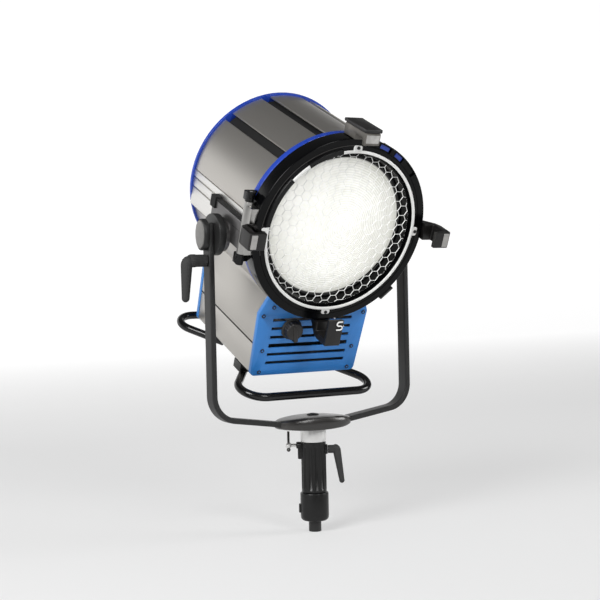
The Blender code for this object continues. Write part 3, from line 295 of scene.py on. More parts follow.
@dataclass(frozen=True)
class LensGlass:
    """Pressed glass lit from behind: warm white with fine rings and a pebbled back."""

    name: str
    colour: tuple[float, float, float] = (0.50, 0.50, 0.49)
    glow: float = 0.79
    pitch: float = 0.0042
    drift: float = 0.012
    radius: float = 0.127
    rise: float = 0.045

    def build(self) -> bpy.types.Material:
        """Make the material."""
        nodes = Nodes(self.name)
        axes = HeadAxes.read()
        centre = axes.matrix @ Matrix.Translation((0.0, 0.0, self.rise))
        here = nodes.place(centre)
        split = nodes.add("ShaderNodeSeparateXYZ")
        nodes.link(here, split.inputs["Vector"])
        across = nodes.math("POWER", split.outputs["X"], 2.0)
        up = nodes.math("POWER", split.outputs["Z"], 2.0)
        radius = nodes.math("SQRT", nodes.math("ADD", across, up))
        inward = nodes.math("SUBTRACT", 1.0, nodes.math("DIVIDE", radius, self.radius))
        drift = nodes.math("MULTIPLY", inward, self.drift)
        side = nodes.math("POWER", nodes.math("SUBTRACT", split.outputs["X"], drift), 2.0)
        seen = nodes.math("SQRT", nodes.math("ADD", side, up))
        phase = nodes.math("FRACT", nodes.math("DIVIDE", seen, self.pitch))
        pebble = nodes.add("ShaderNodeTexVoronoi", Scale=150.0, feature="SMOOTH_F1")
        cloud = nodes.add("ShaderNodeTexNoise", Scale=16.0, Detail=3.0)
        nodes.link(here, pebble.inputs["Vector"])
        nodes.link(here, cloud.inputs["Vector"])
        edge = nodes.math("DIVIDE", radius, self.radius)
        glow = nodes.math("DIVIDE", seen, self.radius)
        ring = nodes.ramp(phase, ((0.0, (0.66, 0.66, 0.64)), (0.30, (0.93, 0.93, 0.92)),
                                  (0.75, (1.0, 1.0, 0.99)), (1.0, (0.70, 0.70, 0.68))))
        # Painted light: towards +x the rings fade into near white, the lens washed out by its own
        # light on that side.
        painted_side_wash = nodes.math("MULTIPLY_ADD", split.outputs["X"], 6.5)
        painted_side_wash.node.inputs[2].default_value = 0.45
        painted_side_wash.node.use_clamp = True
        fade = nodes.add("ShaderNodeMix", data_type="RGBA", blend_type="MIX")
        fade.inputs[6].default_value = (0.985, 0.985, 0.98, 1.0)
        nodes.link(painted_side_wash, fade.inputs["Factor"])
        nodes.link(ring, fade.inputs[7])
        ring = fade.outputs[2]
        # Painted shade: the lens's glow darkens towards its rim.
        rim = nodes.ramp(edge, ((0.0, (1.0, 1.0, 1.0)), (0.90, (0.98, 0.98, 0.97)),
                                (0.965, (0.86, 0.86, 0.84)), (1.0, (0.55, 0.55, 0.54))))
        spot = nodes.ramp(pebble.outputs["Distance"], ((0.0, (1.0, 1.0, 1.0)),
                                                       (0.8, (0.90, 0.90, 0.885))))
        soft = nodes.ramp(cloud.outputs["Fac"], ((0.3, (0.90, 0.90, 0.88)),
                                                 (0.7, (1.0, 1.0, 1.0))))
        # Painted light: a hotspot, brightest in the middle and dimmer towards the rim.
        painted_hotspot = nodes.ramp(glow, ((0.0, (1.0, 1.0, 1.0)), (0.25, (0.98, 0.98, 0.97)),
                                  (0.65, (0.93, 0.93, 0.92)), (1.0, (0.80, 0.80, 0.79))))
        product = ring
        for layer in (rim, spot, soft, painted_hotspot):
            mix = nodes.add("ShaderNodeMix", data_type="RGBA", blend_type="MULTIPLY")
            mix.inputs["Factor"].default_value = 1.0
            nodes.link(product, mix.inputs[6])
            nodes.link(layer, mix.inputs[7])
            product = mix.outputs[2]
        nodes.link(product, nodes.shader.inputs["Emission Color"])
        # The same painted light also goes into the lens's base colour.
        tint = nodes.add("ShaderNodeMix", data_type="RGBA", blend_type="MULTIPLY")
        tint.inputs["Factor"].default_value = 1.0
        tint.inputs[7].default_value = (*self.colour, 1.0)
        nodes.link(product, tint.inputs[6])
        nodes.link(tint.outputs[2], nodes.shader.inputs["Base Color"])
        nodes.shader.inputs["Emission Strength"].default_value = self.glow
        nodes.shader.inputs["Roughness"].default_value = 0.22
        nodes.shader.inputs["Coat Weight"].default_value = 0.4
        nodes.bump(pebble.outputs["Distance"], 0.25, 0.0006)
        return nodes.material


@dataclass(frozen=True)
class Clear:
    """Thin clear glass for the lamp's envelope."""

    name: str
    colour: tuple[float, float, float] = (0.95, 0.96, 0.96)

    def build(self) -> bpy.types.Material:
        """Make the material."""
        nodes = Nodes(self.name)
        here = nodes.place()
        haze = nodes.add("ShaderNodeTexNoise", Scale=60.0, Detail=2.0)
        nodes.link(here, haze.inputs["Vector"])
        nodes.link(nodes.ramp(haze.outputs["Fac"], ((0.3, self.colour), (0.8, (1.0, 1.0, 1.0)))),
                   nodes.shader.inputs["Base Color"])
        nodes.shader.inputs["Roughness"].default_value = 0.05
        nodes.shader.inputs["Transmission Weight"].default_value = 0.9
        nodes.shader.inputs["IOR"].default_value = 1.46
        return nodes.material


class Finish(Enum):
    """Every finish on the lamp, with the record's slot that it belongs to."""

    BLACK = ("black_enamel", Paint("black_enamel", (0.0020, 0.0018, 0.0017), 0.20, 0.0, 0.20,
                                   0.003, 0.2, 900.0, 0.09))
    SKID = ("black_enamel", Paint("skid_enamel", (0.0036, 0.0036, 0.0040), 0.18, 0.0, 0.2, 0.003,
                                  0.12, 900.0, 0.42))
    HOOP = ("black_casting", Paint("door_enamel", (0.0018, 0.0019, 0.0023), 0.17, 0.0, 0.2,
                                   0.002, 0.15, 900.0, 0.16))
    RING = ("black_casting", Paint("ring_enamel", (0.0046, 0.0046, 0.0048), 0.27, 0.0, 0.2,
                                   0.004, 0.2, 900.0, 0.25))
    VOID = ("black_casting", Paint("flat_black", (0.0022, 0.0022, 0.0024), 0.80, 0.0, 0.2,
                                   0.002))
    CAST = ("black_casting", Cast("black_casting", (0.0085, 0.0076, 0.0068), 0.27, 0.15))
    CLAW = ("black_casting", Cast("grey_casting", (0.0085, 0.0080, 0.0075), 0.36, 0.2))
    SADDLE = ("black_casting", Cast("saddle_casting", (0.0200, 0.0180, 0.0165), 0.30, 0.25, 520.0,
                                    0.9))
    # A lighter grey casting than the other brackets, used on the top bracket only.
    BROWN = ("black_casting", Cast("top_bracket_casting", (0.1300, 0.1220, 0.1100), 0.38, 0.5))
    TIP = ("black_casting", Cast("bare_casting", (0.4600, 0.4500, 0.4350), 0.36, 0.85))
    PLASTIC = ("black_plastic", Cast("black_plastic", (0.0068, 0.0066, 0.0064), 0.34, 0.0,
                                     1100.0))
    RUBBER = ("black_plastic", Cast("ribbed_knob", (0.0100, 0.0085, 0.0080), 0.45, 0.0, 900.0))
    STEEL = ("bright_steel", Brushed("bright_steel", (0.83, 0.825, 0.815), 0.24,
                                     (240.0, 240.0, 240.0), 0.06, False))
    # Painted light: the wire mesh glows with emission 0.28, as if lit from behind by the lamp,
    # though it is no lamp.
    WIRE = ("bright_steel", Paint("mesh_wire", (0.70, 0.70, 0.69), 0.35, 0.0, 0.08, 0.0,
                                 0.1, 900.0, 0.5, 0.28))
    GUARD = ("bright_steel", Paint("white_guard", (0.80, 0.80, 0.785), 0.30, 0.0, 0.05, 0.0,
                                   0.10))
    BLUE = ("deep_blue", Paint("deep_blue_enamel", (0.0120, 0.0480, 0.3600), 0.28, 0.0, 0.12,
                               0.010))
    AZURE = ("azure", Paint("azure_enamel", (0.0260, 0.1950, 0.5600), 0.34, 0.0, 0.08, 0.008))
    SATIN = ("satin_aluminium", Brushed("satin_aluminium", (0.640, 0.620, 0.590), 0.36))
    LIGHT = ("satin_aluminium", Brushed("light_aluminium", (0.800, 0.790, 0.765), 0.40))
    GREY = ("grey_anodised", Brushed("grey_anodised", (0.170, 0.165, 0.160), 0.42,
                                     (500.0, 20.0, 500.0), 0.12))
    CAP = ("grey_anodised", Cast("grey_cap", (0.2200, 0.2150, 0.2080), 0.42, 0.5))
    STRAP = ("bright_steel", Brushed("strap_steel", (0.42, 0.415, 0.40), 0.30,
                                     (240.0, 240.0, 240.0), 0.1, False))
    DARK_STEEL = ("bright_steel", Brushed("dark_steel", (0.09, 0.088, 0.085), 0.34,
                                          (240.0, 240.0, 240.0), 0.1, False))
    GLASS = ("lens_glass", LensGlass("lit_lens"))
    CLEAR = ("lens_glass", Clear("clear_envelope"))
    CERAMIC = ("white_ceramic", Cast("white_ceramic", (0.74, 0.73, 0.70), 0.38, 0.0, 300.0))
    MIRROR = ("mirror_aluminium", Brushed("mirror_aluminium", (0.90, 0.90, 0.91), 0.10,
                                          (60.0, 60.0, 60.0), 0.02, False))

    @property
    def slot(self) -> str:
        """The record's material slot."""
        return self.value[0]

    @property
    def material(self) -> bpy.types.Material:
        """The Blender material, made once."""
        name = self.value[1].name
        return bpy.data.materials.get(name) or self.value[1].build()


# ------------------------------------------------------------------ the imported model
@dataclass(frozen=True)
class HeadAxes:
    """The lamp head's own axes at rest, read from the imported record."""

    origin: tuple[float, float, float]
    beam: tuple[float, float, float]

    @staticmethod
    def read() -> "HeadAxes":
        """Take the tilt axis and the beam's direction from the record."""
        record = FRAME["record"]
        tilt = next(j for j in record["behaviour"]["joints"] if j["name"] == "tilt")
        slide = next(j for j in record["behaviour"]["joints"] if j["name"] == "lamp_slide")
        return HeadAxes(tuple(tilt["pos_m"]), tuple(-float(v) for v in slide["axis"]))

    @property
    def rotation(self) -> Array:
        """Columns x, y and z of the head, as a 3 by 3 array."""
        x = np.array((1.0, 0.0, 0.0))
        y = -np.array(self.beam) / np.linalg.norm(self.beam)
        return np.stack((x, y, np.cross(x, y)), axis=1)

    @property
    def matrix(self) -> Matrix:
        """Head axes to the model's axes, as a 4 by 4 matrix."""
        matrix = Matrix([list(row) + [0.0] for row in self.rotation] + [[0.0, 0.0, 0.0, 1.0]])
        matrix.translation = self.origin
        return matrix

    def out(self, points: Array) -> Array:
        """Points in head axes as points of the model: turned, then moved to the tilt axis."""
        return points @ self.rotation.T + np.array(self.origin)

    def back(self, points: Array) -> Array:
        """Points of the model in head axes."""
        return (points - np.array(self.origin)) @ self.rotation


@dataclass(frozen=True)
class WorldAxes:
    """The model's own axes, for the pieces that don't tilt."""

    def out(self, points: Array) -> Array:
        """Points as they are."""
        return points


Axes = HeadAxes | WorldAxes


def node_points(name: str) -> Array:
    """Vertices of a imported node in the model's axes, one row each."""
    mesh = FRAME["nodes"][name].data
    flat = np.empty(len(mesh.vertices) * 3)
    mesh.vertices.foreach_get("co", flat)
    return flat.reshape(-1, 3)


def head_box(name: str) -> tuple[Array, Array]:
    """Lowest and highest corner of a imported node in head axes."""
    points = HeadAxes.read().back(node_points(name))
    return points.min(axis=0), points.max(axis=0)


# ------------------------------------------------------------------ surfaces
@dataclass
class Surface:
    """Vertices and faces of one closed shape, or of several that go together."""

    points: Array
    faces: list[Array] = field(default_factory=list)

    def __add__(self, other: "Surface") -> "Surface":
        """Both shapes in one."""
        moved = [faces + len(self.points) for faces in other.faces]
        return Surface(np.vstack((self.points, other.points)), self.faces + moved)

    def moved(self, x: float = 0.0, y: float = 0.0, z: float = 0.0) -> "Surface":
        """The shape shifted."""
        return Surface(self.points + np.array((x, y, z)), self.faces)

    def turned(self, rotation: Array) -> "Surface":
        """The shape turned by a 3 by 3 array."""
        return Surface(self.points @ rotation.T, self.faces)


def turn(axis: str, degrees: float) -> Array:
    """Rotation about an axis as a 3 by 3 array."""
    return np.array(Matrix.Rotation(math.radians(degrees), 3, axis))


def grid_faces(rows: int, columns: int, closed_rows: bool, closed_columns: bool) -> Array:
    """Quads over a grid of points.

    Args:
        rows: Number of rows.
        columns: Points in each row.
        closed_rows: Whether the last row joins the first.
        closed_columns: Whether each row closes on itself.

    Returns:
        One row of four indices for each quad.
    """
    i = np.arange(rows if closed_rows else rows - 1)
    j = np.arange(columns if closed_columns else columns - 1)
    i, j = np.meshgrid(i, j, indexing="ij")
    i2, j2 = (i + 1) % rows, (j + 1) % columns
    quads = (i * columns + j, i * columns + j2, i2 * columns + j2, i2 * columns + j)
    return np.stack([q.ravel() for q in quads], axis=1)


def skin(rings: Array, loop: bool = False) -> Surface:
    """A closed skin through rings of points, flat at both ends.

    Args:
        rings: Array of ring, point and coordinate.
        loop: Whether the last ring joins the first, as on a hoop.

    Returns:
        The surface: quads between neighbouring rings and a polygon at each end.
    """
    rows, columns = rings.shape[:2]
    faces: list[Array] = [grid_faces(rows, columns, loop, True)]
    if not loop:
        first = np.arange(columns)[::-1][None, :]
        last = (np.arange(columns) + (rows - 1) * columns)[None, :]
        faces += [first, last]
    return Surface(rings.reshape(-1, 3), faces)


def turned_ring(profile: Sequence[tuple[float, float]], steps: int = 144, start: float = 0.0,
                end: float = 360.0) -> Surface:
    """A closed profile of (radius, height) turned about the z axis.

    Each point runs round a circle: x and y are the radius times cosine and sine of the angle.

    Args:
        profile: Points of the closed profile.
        steps: Steps round the turn.
        start: First angle in degrees.
        end: Last angle in degrees.

    Returns:
        A hoop, or a piece of one with flat ends.
    """
    outline = np.array(profile, dtype=float)
    full = abs(end - start) >= 360.0
    angles = np.radians(np.linspace(start, end, steps, endpoint=not full))
    rings = np.empty((len(angles), len(outline), 3))
    rings[..., 0] = np.cos(angles)[:, None] * outline[:, 0]
    rings[..., 1] = np.sin(angles)[:, None] * outline[:, 0]
    rings[..., 2] = outline[:, 1]
    return skin(rings, full)


def turned_solid(profile: Sequence[tuple[float, float]], steps: int = 96,
                 wave: Array | None = None) -> Surface:
    """An open profile of (radius, height) turned about z, closed by flat ends.

    Args:
        profile: Points from one end to the other, none on the axis.
        steps: Steps round the turn.
        wave: Factor on the radius at each step, for flutes and lobes.

    Returns:
        The closed surface.
    """
    outline = np.array(profile, dtype=float)
    angles = np.linspace(0.0, 2 * np.pi, steps, endpoint=False)
    swell = np.ones(steps) if wave is None else wave
    rings = np.empty((len(outline), steps, 3))
    rings[..., 0] = outline[:, :1] * (np.cos(angles) * swell)[None, :]
    rings[..., 1] = outline[:, :1] * (np.sin(angles) * swell)[None, :]
    rings[..., 2] = outline[:, 1:2]
    return skin(rings)


def along(path: Array, widths: Array, depths: Array, up: Sequence[float],
          sides: int = 24, power: float = 2.0, loop: bool = False) -> Surface:
    """A bar carried along a path, with a rounded section that may change on the way.

    The section is a superellipse: cosine and sine raised to 2 over the power, times half the
    width across and half the depth along the up direction.

    Args:
        path: Points of the centre line.
        widths: Half width at each point.
        depths: Half depth at each point.
        up: Direction that the depth follows as nearly as it can.
        sides: Points round the section.
        power: 2 is an ellipse, more is squarer.
        loop: Whether the path closes on itself.

    Returns:
        The surface.
    """
    path = np.asarray(path, dtype=float)
    if loop:
        tangent = np.roll(path, -1, axis=0) - np.roll(path, 1, axis=0)
    else:
        tangent = np.gradient(path, axis=0)
    tangent /= np.linalg.norm(tangent, axis=1, keepdims=True)
    side = np.cross(tangent, np.array(up, dtype=float))
    side /= np.linalg.norm(side, axis=1, keepdims=True)
    rise = np.cross(side, tangent)
    angle = np.linspace(0.0, 2 * np.pi, sides, endpoint=False)
    c, s = np.cos(angle), np.sin(angle)
    u = np.sign(c) * np.abs(c) ** (2.0 / power)
    v = np.sign(s) * np.abs(s) ** (2.0 / power)
    rings = (path[:, None, :] + (np.asarray(widths)[:, None] * u)[..., None] * side[:, None, :]
             + (np.asarray(depths)[:, None] * v)[..., None] * rise[:, None, :])
    return skin(rings, loop)


def smooth_path(corners: Array, radii: Sequence[float], steps: int = 12) -> Array:
    """A path whose corners are rounded by arcs.

    At a corner the arc's centre lies on the bisector at radius over the sine of the half
    angle; points between its two tangent points turn evenly about that centre.

    Args:
        corners: Corner points.
        radii: Radius at each corner, 0 at the ends.
        steps: Points on each arc.

    Returns:
        The points of the path.
    """
    parts = [corners[:1]]
    for before, here, after, radius in zip(corners, corners[1:], corners[2:], radii[1:]):
        a = (before - here) / np.linalg.norm(before - here)
        b = (after - here) / np.linalg.norm(after - here)
        half = math.acos(float(np.clip(a @ b, -1, 1))) / 2
        middle = (a + b) / np.linalg.norm(a + b)
        centre = here + middle * radius / math.sin(half)
        first = here + a * radius / math.tan(half) - centre
        last = here + b * radius / math.tan(half) - centre
        sweep = math.pi - 2 * half
        t = np.linspace(0.0, 1.0, steps)[:, None]
        parts.append(centre + (np.sin((1 - t) * sweep) * first + np.sin(t * sweep) * last)
                     / math.sin(sweep))
    return np.vstack(parts + [corners[-1:]])


def thinned(path: Array, gap: float) -> Array:
    """The path with points spaced evenly, about gap apart, by length along it."""
    lengths = np.concatenate(([0.0], np.cumsum(np.linalg.norm(np.diff(path, axis=0), axis=1))))
    count = max(3, int(lengths[-1] / gap))
    marks = np.linspace(0.0, lengths[-1], count)
    return np.stack([np.interp(marks, lengths, path[:, k]) for k in range(3)], axis=1)


def block(low: Sequence[float], high: Sequence[float]) -> Surface:
    """A box between two corners, for bevelling."""
    x, y, z = zip(low, high)
    corners = np.array([(x[i], y[j], z[k]) for k in (0, 1) for i, j in ((0, 0), (1, 0), (1, 1),
                                                                       (0, 1))])
    return skin(corners.reshape(2, 4, 3))


TO_BEAM = turn("X", 90.0)       # +z of a turned piece to the beam's direction


# ------------------------------------------------------------------ making pieces
class Workshop:
    """Makes, dresses and counts the finished pieces."""

    def __init__(self) -> None:
        """Start with no pieces."""
        self.made: list[str] = []

    def add(self, name: str, surface: Surface, finish: Finish, body: Body,
            axes: Axes | None = None, replaces: Iterable[str] = (), bevel: float = 0.0,
            sharp: float = 38.0) -> bpy.types.Object:
        """Turn a surface into a finished piece.

        Args:
            name: The piece's name.
            surface: Its shape.
            finish: Its finish.
            body: The body that it rides on.
            axes: The axes that the shape is given in.
            replaces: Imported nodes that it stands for.
            bevel: Width of the rounding on its edges.
            sharp: Edges above this angle stay sharp, in degrees.

        Returns:
            The new object.
        """
        points = (axes or WorldAxes()).out(surface.points)
        mesh = bpy.data.meshes.new(name)
        mesh.from_pydata(points.tolist(), [], [face.tolist() for group in surface.faces
                                               for face in group])
        bm = bmesh.new()
        bm.from_mesh(mesh)
        bmesh.ops.remove_doubles(bm, verts=bm.verts, dist=1e-6)
        bmesh.ops.recalc_face_normals(bm, faces=bm.faces)
        bm.to_mesh(mesh)
        bm.free()
        return self.finish_mesh(name, mesh, finish, body, replaces, bevel, sharp)

    def soften(self, node: str, finish: Finish, body: Body, bevel: float = 0.0006,
               segments: int = 2, sharp: float = 38.0) -> bpy.types.Object:
        """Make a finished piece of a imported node: welded, flat faces joined, edges rounded.

        Args:
            node: The node's name.
            finish: Its finish.
            body: The body that it rides on.
            bevel: Width of the rounding.
            segments: Faces across the rounding.
            sharp: Angle above which an edge is rounded, in degrees.

        Returns:
            The new object.
        """
        mesh = FRAME["nodes"][node].data.copy()
        mesh.name = node + "_finished"
        bm = bmesh.new()
        bm.from_mesh(mesh)
        bmesh.ops.remove_doubles(bm, verts=bm.verts, dist=2e-6)
        bmesh.ops.dissolve_limit(bm, angle_limit=math.radians(0.6), verts=bm.verts,
                                 edges=bm.edges)
        bm.to_mesh(mesh)
        bm.free()
        return self.finish_mesh(node + "_finished", mesh, finish, body, (node,), bevel, sharp,
                                segments)

    def finish_mesh(self, name: str, mesh: bpy.types.Mesh, finish: Finish, body: Body,
                    replaces: Iterable[str], bevel: float, sharp: float,
                    segments: int = 2) -> bpy.types.Object:
        """Shade, round, dress and place a mesh as a piece.

        Args:
            name: The piece's name.
            mesh: Its mesh in the model's axes.
            finish: Its finish.
            body: The body that it rides on.
            replaces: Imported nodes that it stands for.
            bevel: Width of the rounding on its edges.
            sharp: Edges above this angle are rounded or stay sharp.
            segments: Faces across the rounding.

        Returns:
            The new object.
        """
        mesh.materials.clear()
        mesh.materials.append(finish.material)
        mesh.shade_smooth()
        obj = bpy.data.objects.new(name, mesh)
        bpy.context.scene.collection.objects.link(obj)
        if bevel > 0.0:
            rounding = obj.modifiers.new("rounding", "BEVEL")
            rounding.width = bevel
            rounding.segments = segments
            rounding.limit_method = "ANGLE"
            rounding.angle_limit = math.radians(sharp)
            rounding.use_clamp_overlap = True
            rounding.harden_normals = True
        else:
            mesh.set_sharp_from_angle(angle=math.radians(sharp))
        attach(obj, body.value)
        nodes = tuple(replaces)
        if nodes:
            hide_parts(*nodes)
        self.made.append(name)
        LOG.info("%s: %s on %s", name, finish.name.lower(), body.value)
        return obj


# ------------------------------------------------------------------ shapes shared by pieces
def rounded_outline(corners: Sequence[Sequence[float]], radii: Sequence[float],
                    steps: int = 4) -> Array:
    """A closed outline in a plane with each corner turned on an arc of its own radius.

    Args:
        corners: Corner points (u, v) in order.
        radii: Radius at each corner; 0 leaves it sharp.
        steps: Faces on each arc.

    Returns:
        The points of the outline.
    """
    points = [np.append(np.array(c, dtype=float), 0.0) for c in corners]
    count = len(points)
    parts = []
    for i, (here, radius) in enumerate(zip(points, radii)):
        if radius <= 0.0:
            parts.append(here[None, :])
            continue
        three = np.stack((points[i - 1], here, points[(i + 1) % count]))
        parts.append(smooth_path(three, (0.0, radius, 0.0), steps + 1)[1:-1])
    return np.vstack(parts)[:, :2]


def prism(outline: Array, low: float, high: float, chamfer: float = 0.0,
          steps: int = 3) -> Surface:
    """An outline in x and y raised from one height to another with rounded rims.

    Near each end the outline is drawn in by chamfer times one minus the cosine of an angle
    that goes from 0 to 90 degrees, while the height takes the sine, which rounds the rim.

    Args:
        outline: Points of the outline.
        low: Height of the lower end.
        high: Height of the upper end.
        chamfer: Radius of the rim's rounding.
        steps: Faces on the rounding.

    Returns:
        The closed surface.
    """
    if chamfer <= 0.0:
        inset, heights = np.zeros(2), np.array((low, high))
    else:
        t = np.linspace(0.0, np.pi / 2, steps + 1)
        pull = chamfer * (1.0 - np.cos(t))
        rise = chamfer * np.sin(t)
        inset = np.concatenate((pull[::-1], pull))
        heights = np.concatenate((low + chamfer - rise[::-1], high - chamfer + rise))
    edge = np.roll(outline, -1, axis=0) - outline
    normal = np.stack((edge[:, 1], -edge[:, 0]), axis=1)
    normal /= np.maximum(np.linalg.norm(normal, axis=1, keepdims=True), 1e-12)
    mitre = normal + np.roll(normal, 1, axis=0)
    mitre /= np.maximum((mitre ** 2).sum(axis=1, keepdims=True) / 2.0, 1e-6)
    area = 0.5 * np.sum(outline[:, 0] * np.roll(outline[:, 1], -1)
                        - np.roll(outline[:, 0], -1) * outline[:, 1])
    mitre *= 1.0 if area > 0 else -1.0
    rings = np.empty((len(inset), len(outline), 3))
    rings[..., :2] = outline[None, :, :] - inset[:, None, None] * mitre[None, :, :]
    rings[..., 2] = heights[:, None]
    return skin(rings)


def finger(path: Array, start: float, end: float, flat: float = 1.0, sides: int = 28) -> Surface:
    """A lever's arm: a round bar that thins along its path and ends in domes.

    The radius runs evenly from start to end and is scaled near each tip by the square root of
    one minus the square of the distance into the dome.

    Args:
        path: Points of the centre line, evenly spaced.
        start: Radius at the first end.
        end: Radius at the last end.
        flat: Depth of the section as a share of its width.
        sides: Points round the section.

    Returns:
        The closed surface.
    """
    lengths = np.concatenate(([0.0], np.cumsum(np.linalg.norm(np.diff(path, axis=0), axis=1))))
    total = lengths[-1]
    into_tip = 1.0 - np.sin(np.linspace(0.06, np.pi / 2, 8))
    near = start * into_tip[::-1]
    far = total - end * into_tip
    inside = np.linspace(start, total - end, 24)[1:-1]
    marks = np.unique(np.concatenate((near, inside, far)))
    points = np.stack([np.interp(marks, lengths, path[:, k]) for k in range(3)], axis=1)
    radius = start + (end - start) * marks / total
    into_first = np.clip(1.0 - marks / start, 0.0, 0.999)
    into_last = np.clip(1.0 - (total - marks) / end, 0.0, 0.999)
    radius = radius * np.sqrt(1.0 - into_first ** 2) * np.sqrt(1.0 - into_last ** 2)
    return along(points, radius, radius * flat, (0.0, 1.0, 0.0), sides)


def screw_head(radius: float, height: float, sides: int = 20, dome: float = 0.35) -> Surface:
    """A round screw head standing on z = 0 with a socket sunk in its top.

    Args:
        radius: Radius of the head.
        height: Height of the head.
        sides: Steps round the head.
        dome: Share of the height taken by the rounding.

    Returns:
        The closed surface.
    """
    h = height
    profile = [(radius, 0.0), (radius, h * (1 - dome)), (radius * 0.93, h * (1 - dome / 3)),
               (radius * 0.80, h), (radius * 0.52, h), (radius * 0.45, h * 0.45),
               (radius * 0.02, h * 0.35)]
    return turned_solid([(radius * 0.02, 0.0)] + profile, sides)


def arc_points(radius: float, start: float, end: float, steps: int) -> Array:
    """Points on a circle between two angles in degrees, one row (u, v) each."""
    angles = np.radians(np.linspace(start, end, steps + 1))
    return np.stack((radius * np.cos(angles), radius * np.sin(angles)), axis=1)


TO_LEFT = turn("Y", -90.0)      # +z of a turned piece to -x
TO_RIGHT = turn("Y", 90.0)      # +z of a turned piece to +x
TO_REAR = turn("X", -90.0)      # +z of a turned piece to +y


# ------------------------------------------------------------------ stand head
@dataclass
class StandHead:
    """The socket on top of the stand: post, sleeve, fluted receiver, lever and T screw."""

    shop: Workshop
    side_turn: float = -29.3
    clamp_height: float = 0.148
    clamp_out: float = 0.038
    clamp_drop: float = 0.062
    clamp_flare: float = 0.013
    receiver_radius: float = 0.0225
    flutes: int = 12
    flute_depth: float = 0.0022
    sleeve_radius: float = 0.0256
    post_bore: float = 0.0117
    screw_height: float = 0.156

    def build(self) -> None:
        """Make every piece of the stand head."""
        self.shop.soften("post", Finish.BLACK, Body.STAND, 0.0005)
        self.sleeve()
        self.receiver()
        self.lever()
        self.shop.soften("t_screw", Finish.STEEL, Body.T_SCREW, 0.0004)
        self.shop.soften("t_bar", Finish.DARK_STEEL, Body.T_BAR, 0.0004)

    def sleeve(self) -> None:
        """Lower sleeve with rounded rims and a square lug."""
        low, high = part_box("lower_sleeve")
        r, bore, z0, z1 = self.sleeve_radius, self.post_bore, low[2], high[2]
        profile = [(bore, z0), (r - 0.0075, z0), (r - 0.0040, z0 + 0.0010),
                   (r - 0.0015, z0 + 0.0030), (r - 0.0004, z0 + 0.0060), (r, z0 + 0.0100),
                   (r, z1 - 0.0022), (r - 0.0003, z1 - 0.0012), (r - 0.0012, z1 - 0.0003),
                   (r - 0.0022, z1), (bore, z1)]
        body = turned_ring(profile, 96)
        lug = prism(rounded_outline([(-0.0285, -0.0055), (-0.020, -0.0055), (-0.020, 0.0055),
                                     (-0.0285, 0.0055)], (0.002, 0, 0, 0.002)),
                    0.034, 0.050, 0.0014).turned(turn("Z", self.side_turn))
        self.shop.add("lower_sleeve_finished", body + lug, Finish.CAST, Body.STAND,
                      replaces=("lower_sleeve",))

    def receiver(self) -> None:
        """Fluted receiver.

        Its radius is the outer radius less the flute's depth times a smooth step of the cosine
        of the number of flutes times the angle, faded out at the top and bottom bands.
        """
        low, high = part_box("receiver")
        z0, z1 = low[2], high[2]
        angles = np.linspace(0.0, 2 * np.pi, 288, endpoint=False)
        wave = 1.0 / (1.0 + np.exp(-7.0 * (np.cos(self.flutes * angles) + 0.1)))
        heights = np.array((z0, z0 + 0.0008, z0 + 0.004, z0 + 0.0055, z0 + 0.0075, z1 - 0.0105,
                            z1 - 0.0085, z1 - 0.0072, z1 - 0.0010, z1, z1, z1 - 0.004))
        base = self.receiver_radius + np.array((-0.0004, 0, 0, 0, 0, 0, 0, 0, 0, -0.0010,
                                                -0.0070, -0.0078))
        fade = np.array((0, 0, 0, 0.3, 1.0, 1.0, 0.3, 0, 0, 0, 0, 0))
        radius = base[:, None] - self.flute_depth * fade[:, None] * (1.0 - wave)[None, :]
        rings = np.stack((radius * np.cos(angles), radius * np.sin(angles),
                          np.repeat(heights[:, None], len(angles), axis=1)), axis=2)
        body = skin(rings)
        boss = turned_solid([(0.0062, 0.0), (0.0062, 0.0118), (0.0055, 0.0130)], 32
                            ).turned(TO_LEFT).moved(x=-0.018, z=self.screw_height)
        rib = prism(rounded_outline([(-0.0285, -0.007), (-0.016, -0.007), (-0.016, 0.007),
                                     (-0.0285, 0.007)], (0.003, 0, 0, 0.003)),
                    0.1315, self.screw_height, 0.0016)
        seat = turned_solid([(0.0090, 0.0), (0.0090, 0.0070), (0.0082, 0.0078)], 32
                            ).turned(TO_RIGHT).moved(x=0.0177, z=self.clamp_height)
        side = (boss + rib + seat).turned(turn("Z", self.side_turn))
        self.shop.add("receiver_finished", body + side, Finish.CAST, Body.STAND,
                      replaces=("receiver",))

    def lever(self) -> None:
        """Clamp lever: a knurled hub with a drooping, tapering handle."""
        top = np.array((0.0, 0.0, 0.0))
        foot = np.array((self.clamp_flare, 0.0, -self.clamp_drop))
        path = np.stack((top + (-0.004, 0.0, 0.003), top + (0.0035, 0.0, 0.002), foot))
        bent = thinned(smooth_path(path, (0.0, 0.006, 0.0), 10), 0.0012)
        handle = finger(bent, 0.0078, 0.0046, 0.92)
        lobes = 1.0 + 0.035 * np.cos(16 * np.linspace(0, 2 * np.pi, 96, endpoint=False))
        hub = turned_solid([(0.0068, 0.0), (0.0072, 0.0006), (0.0072, 0.0110),
                            (0.0066, 0.0122)], 96, lobes
                           ).turned(TO_RIGHT).moved(x=-self.clamp_out + 0.0259)
        rotation = turn("Z", self.side_turn)
        place = np.array((self.clamp_out, 0.0, 0.0)) @ rotation.T
        surface = (handle + hub).turned(rotation).moved(place[0], place[1], self.clamp_height)
        self.shop.add("clamp_lever_finished", surface, Finish.PLASTIC, Body.CLAMP,
                      replaces=("clamp_lever",))


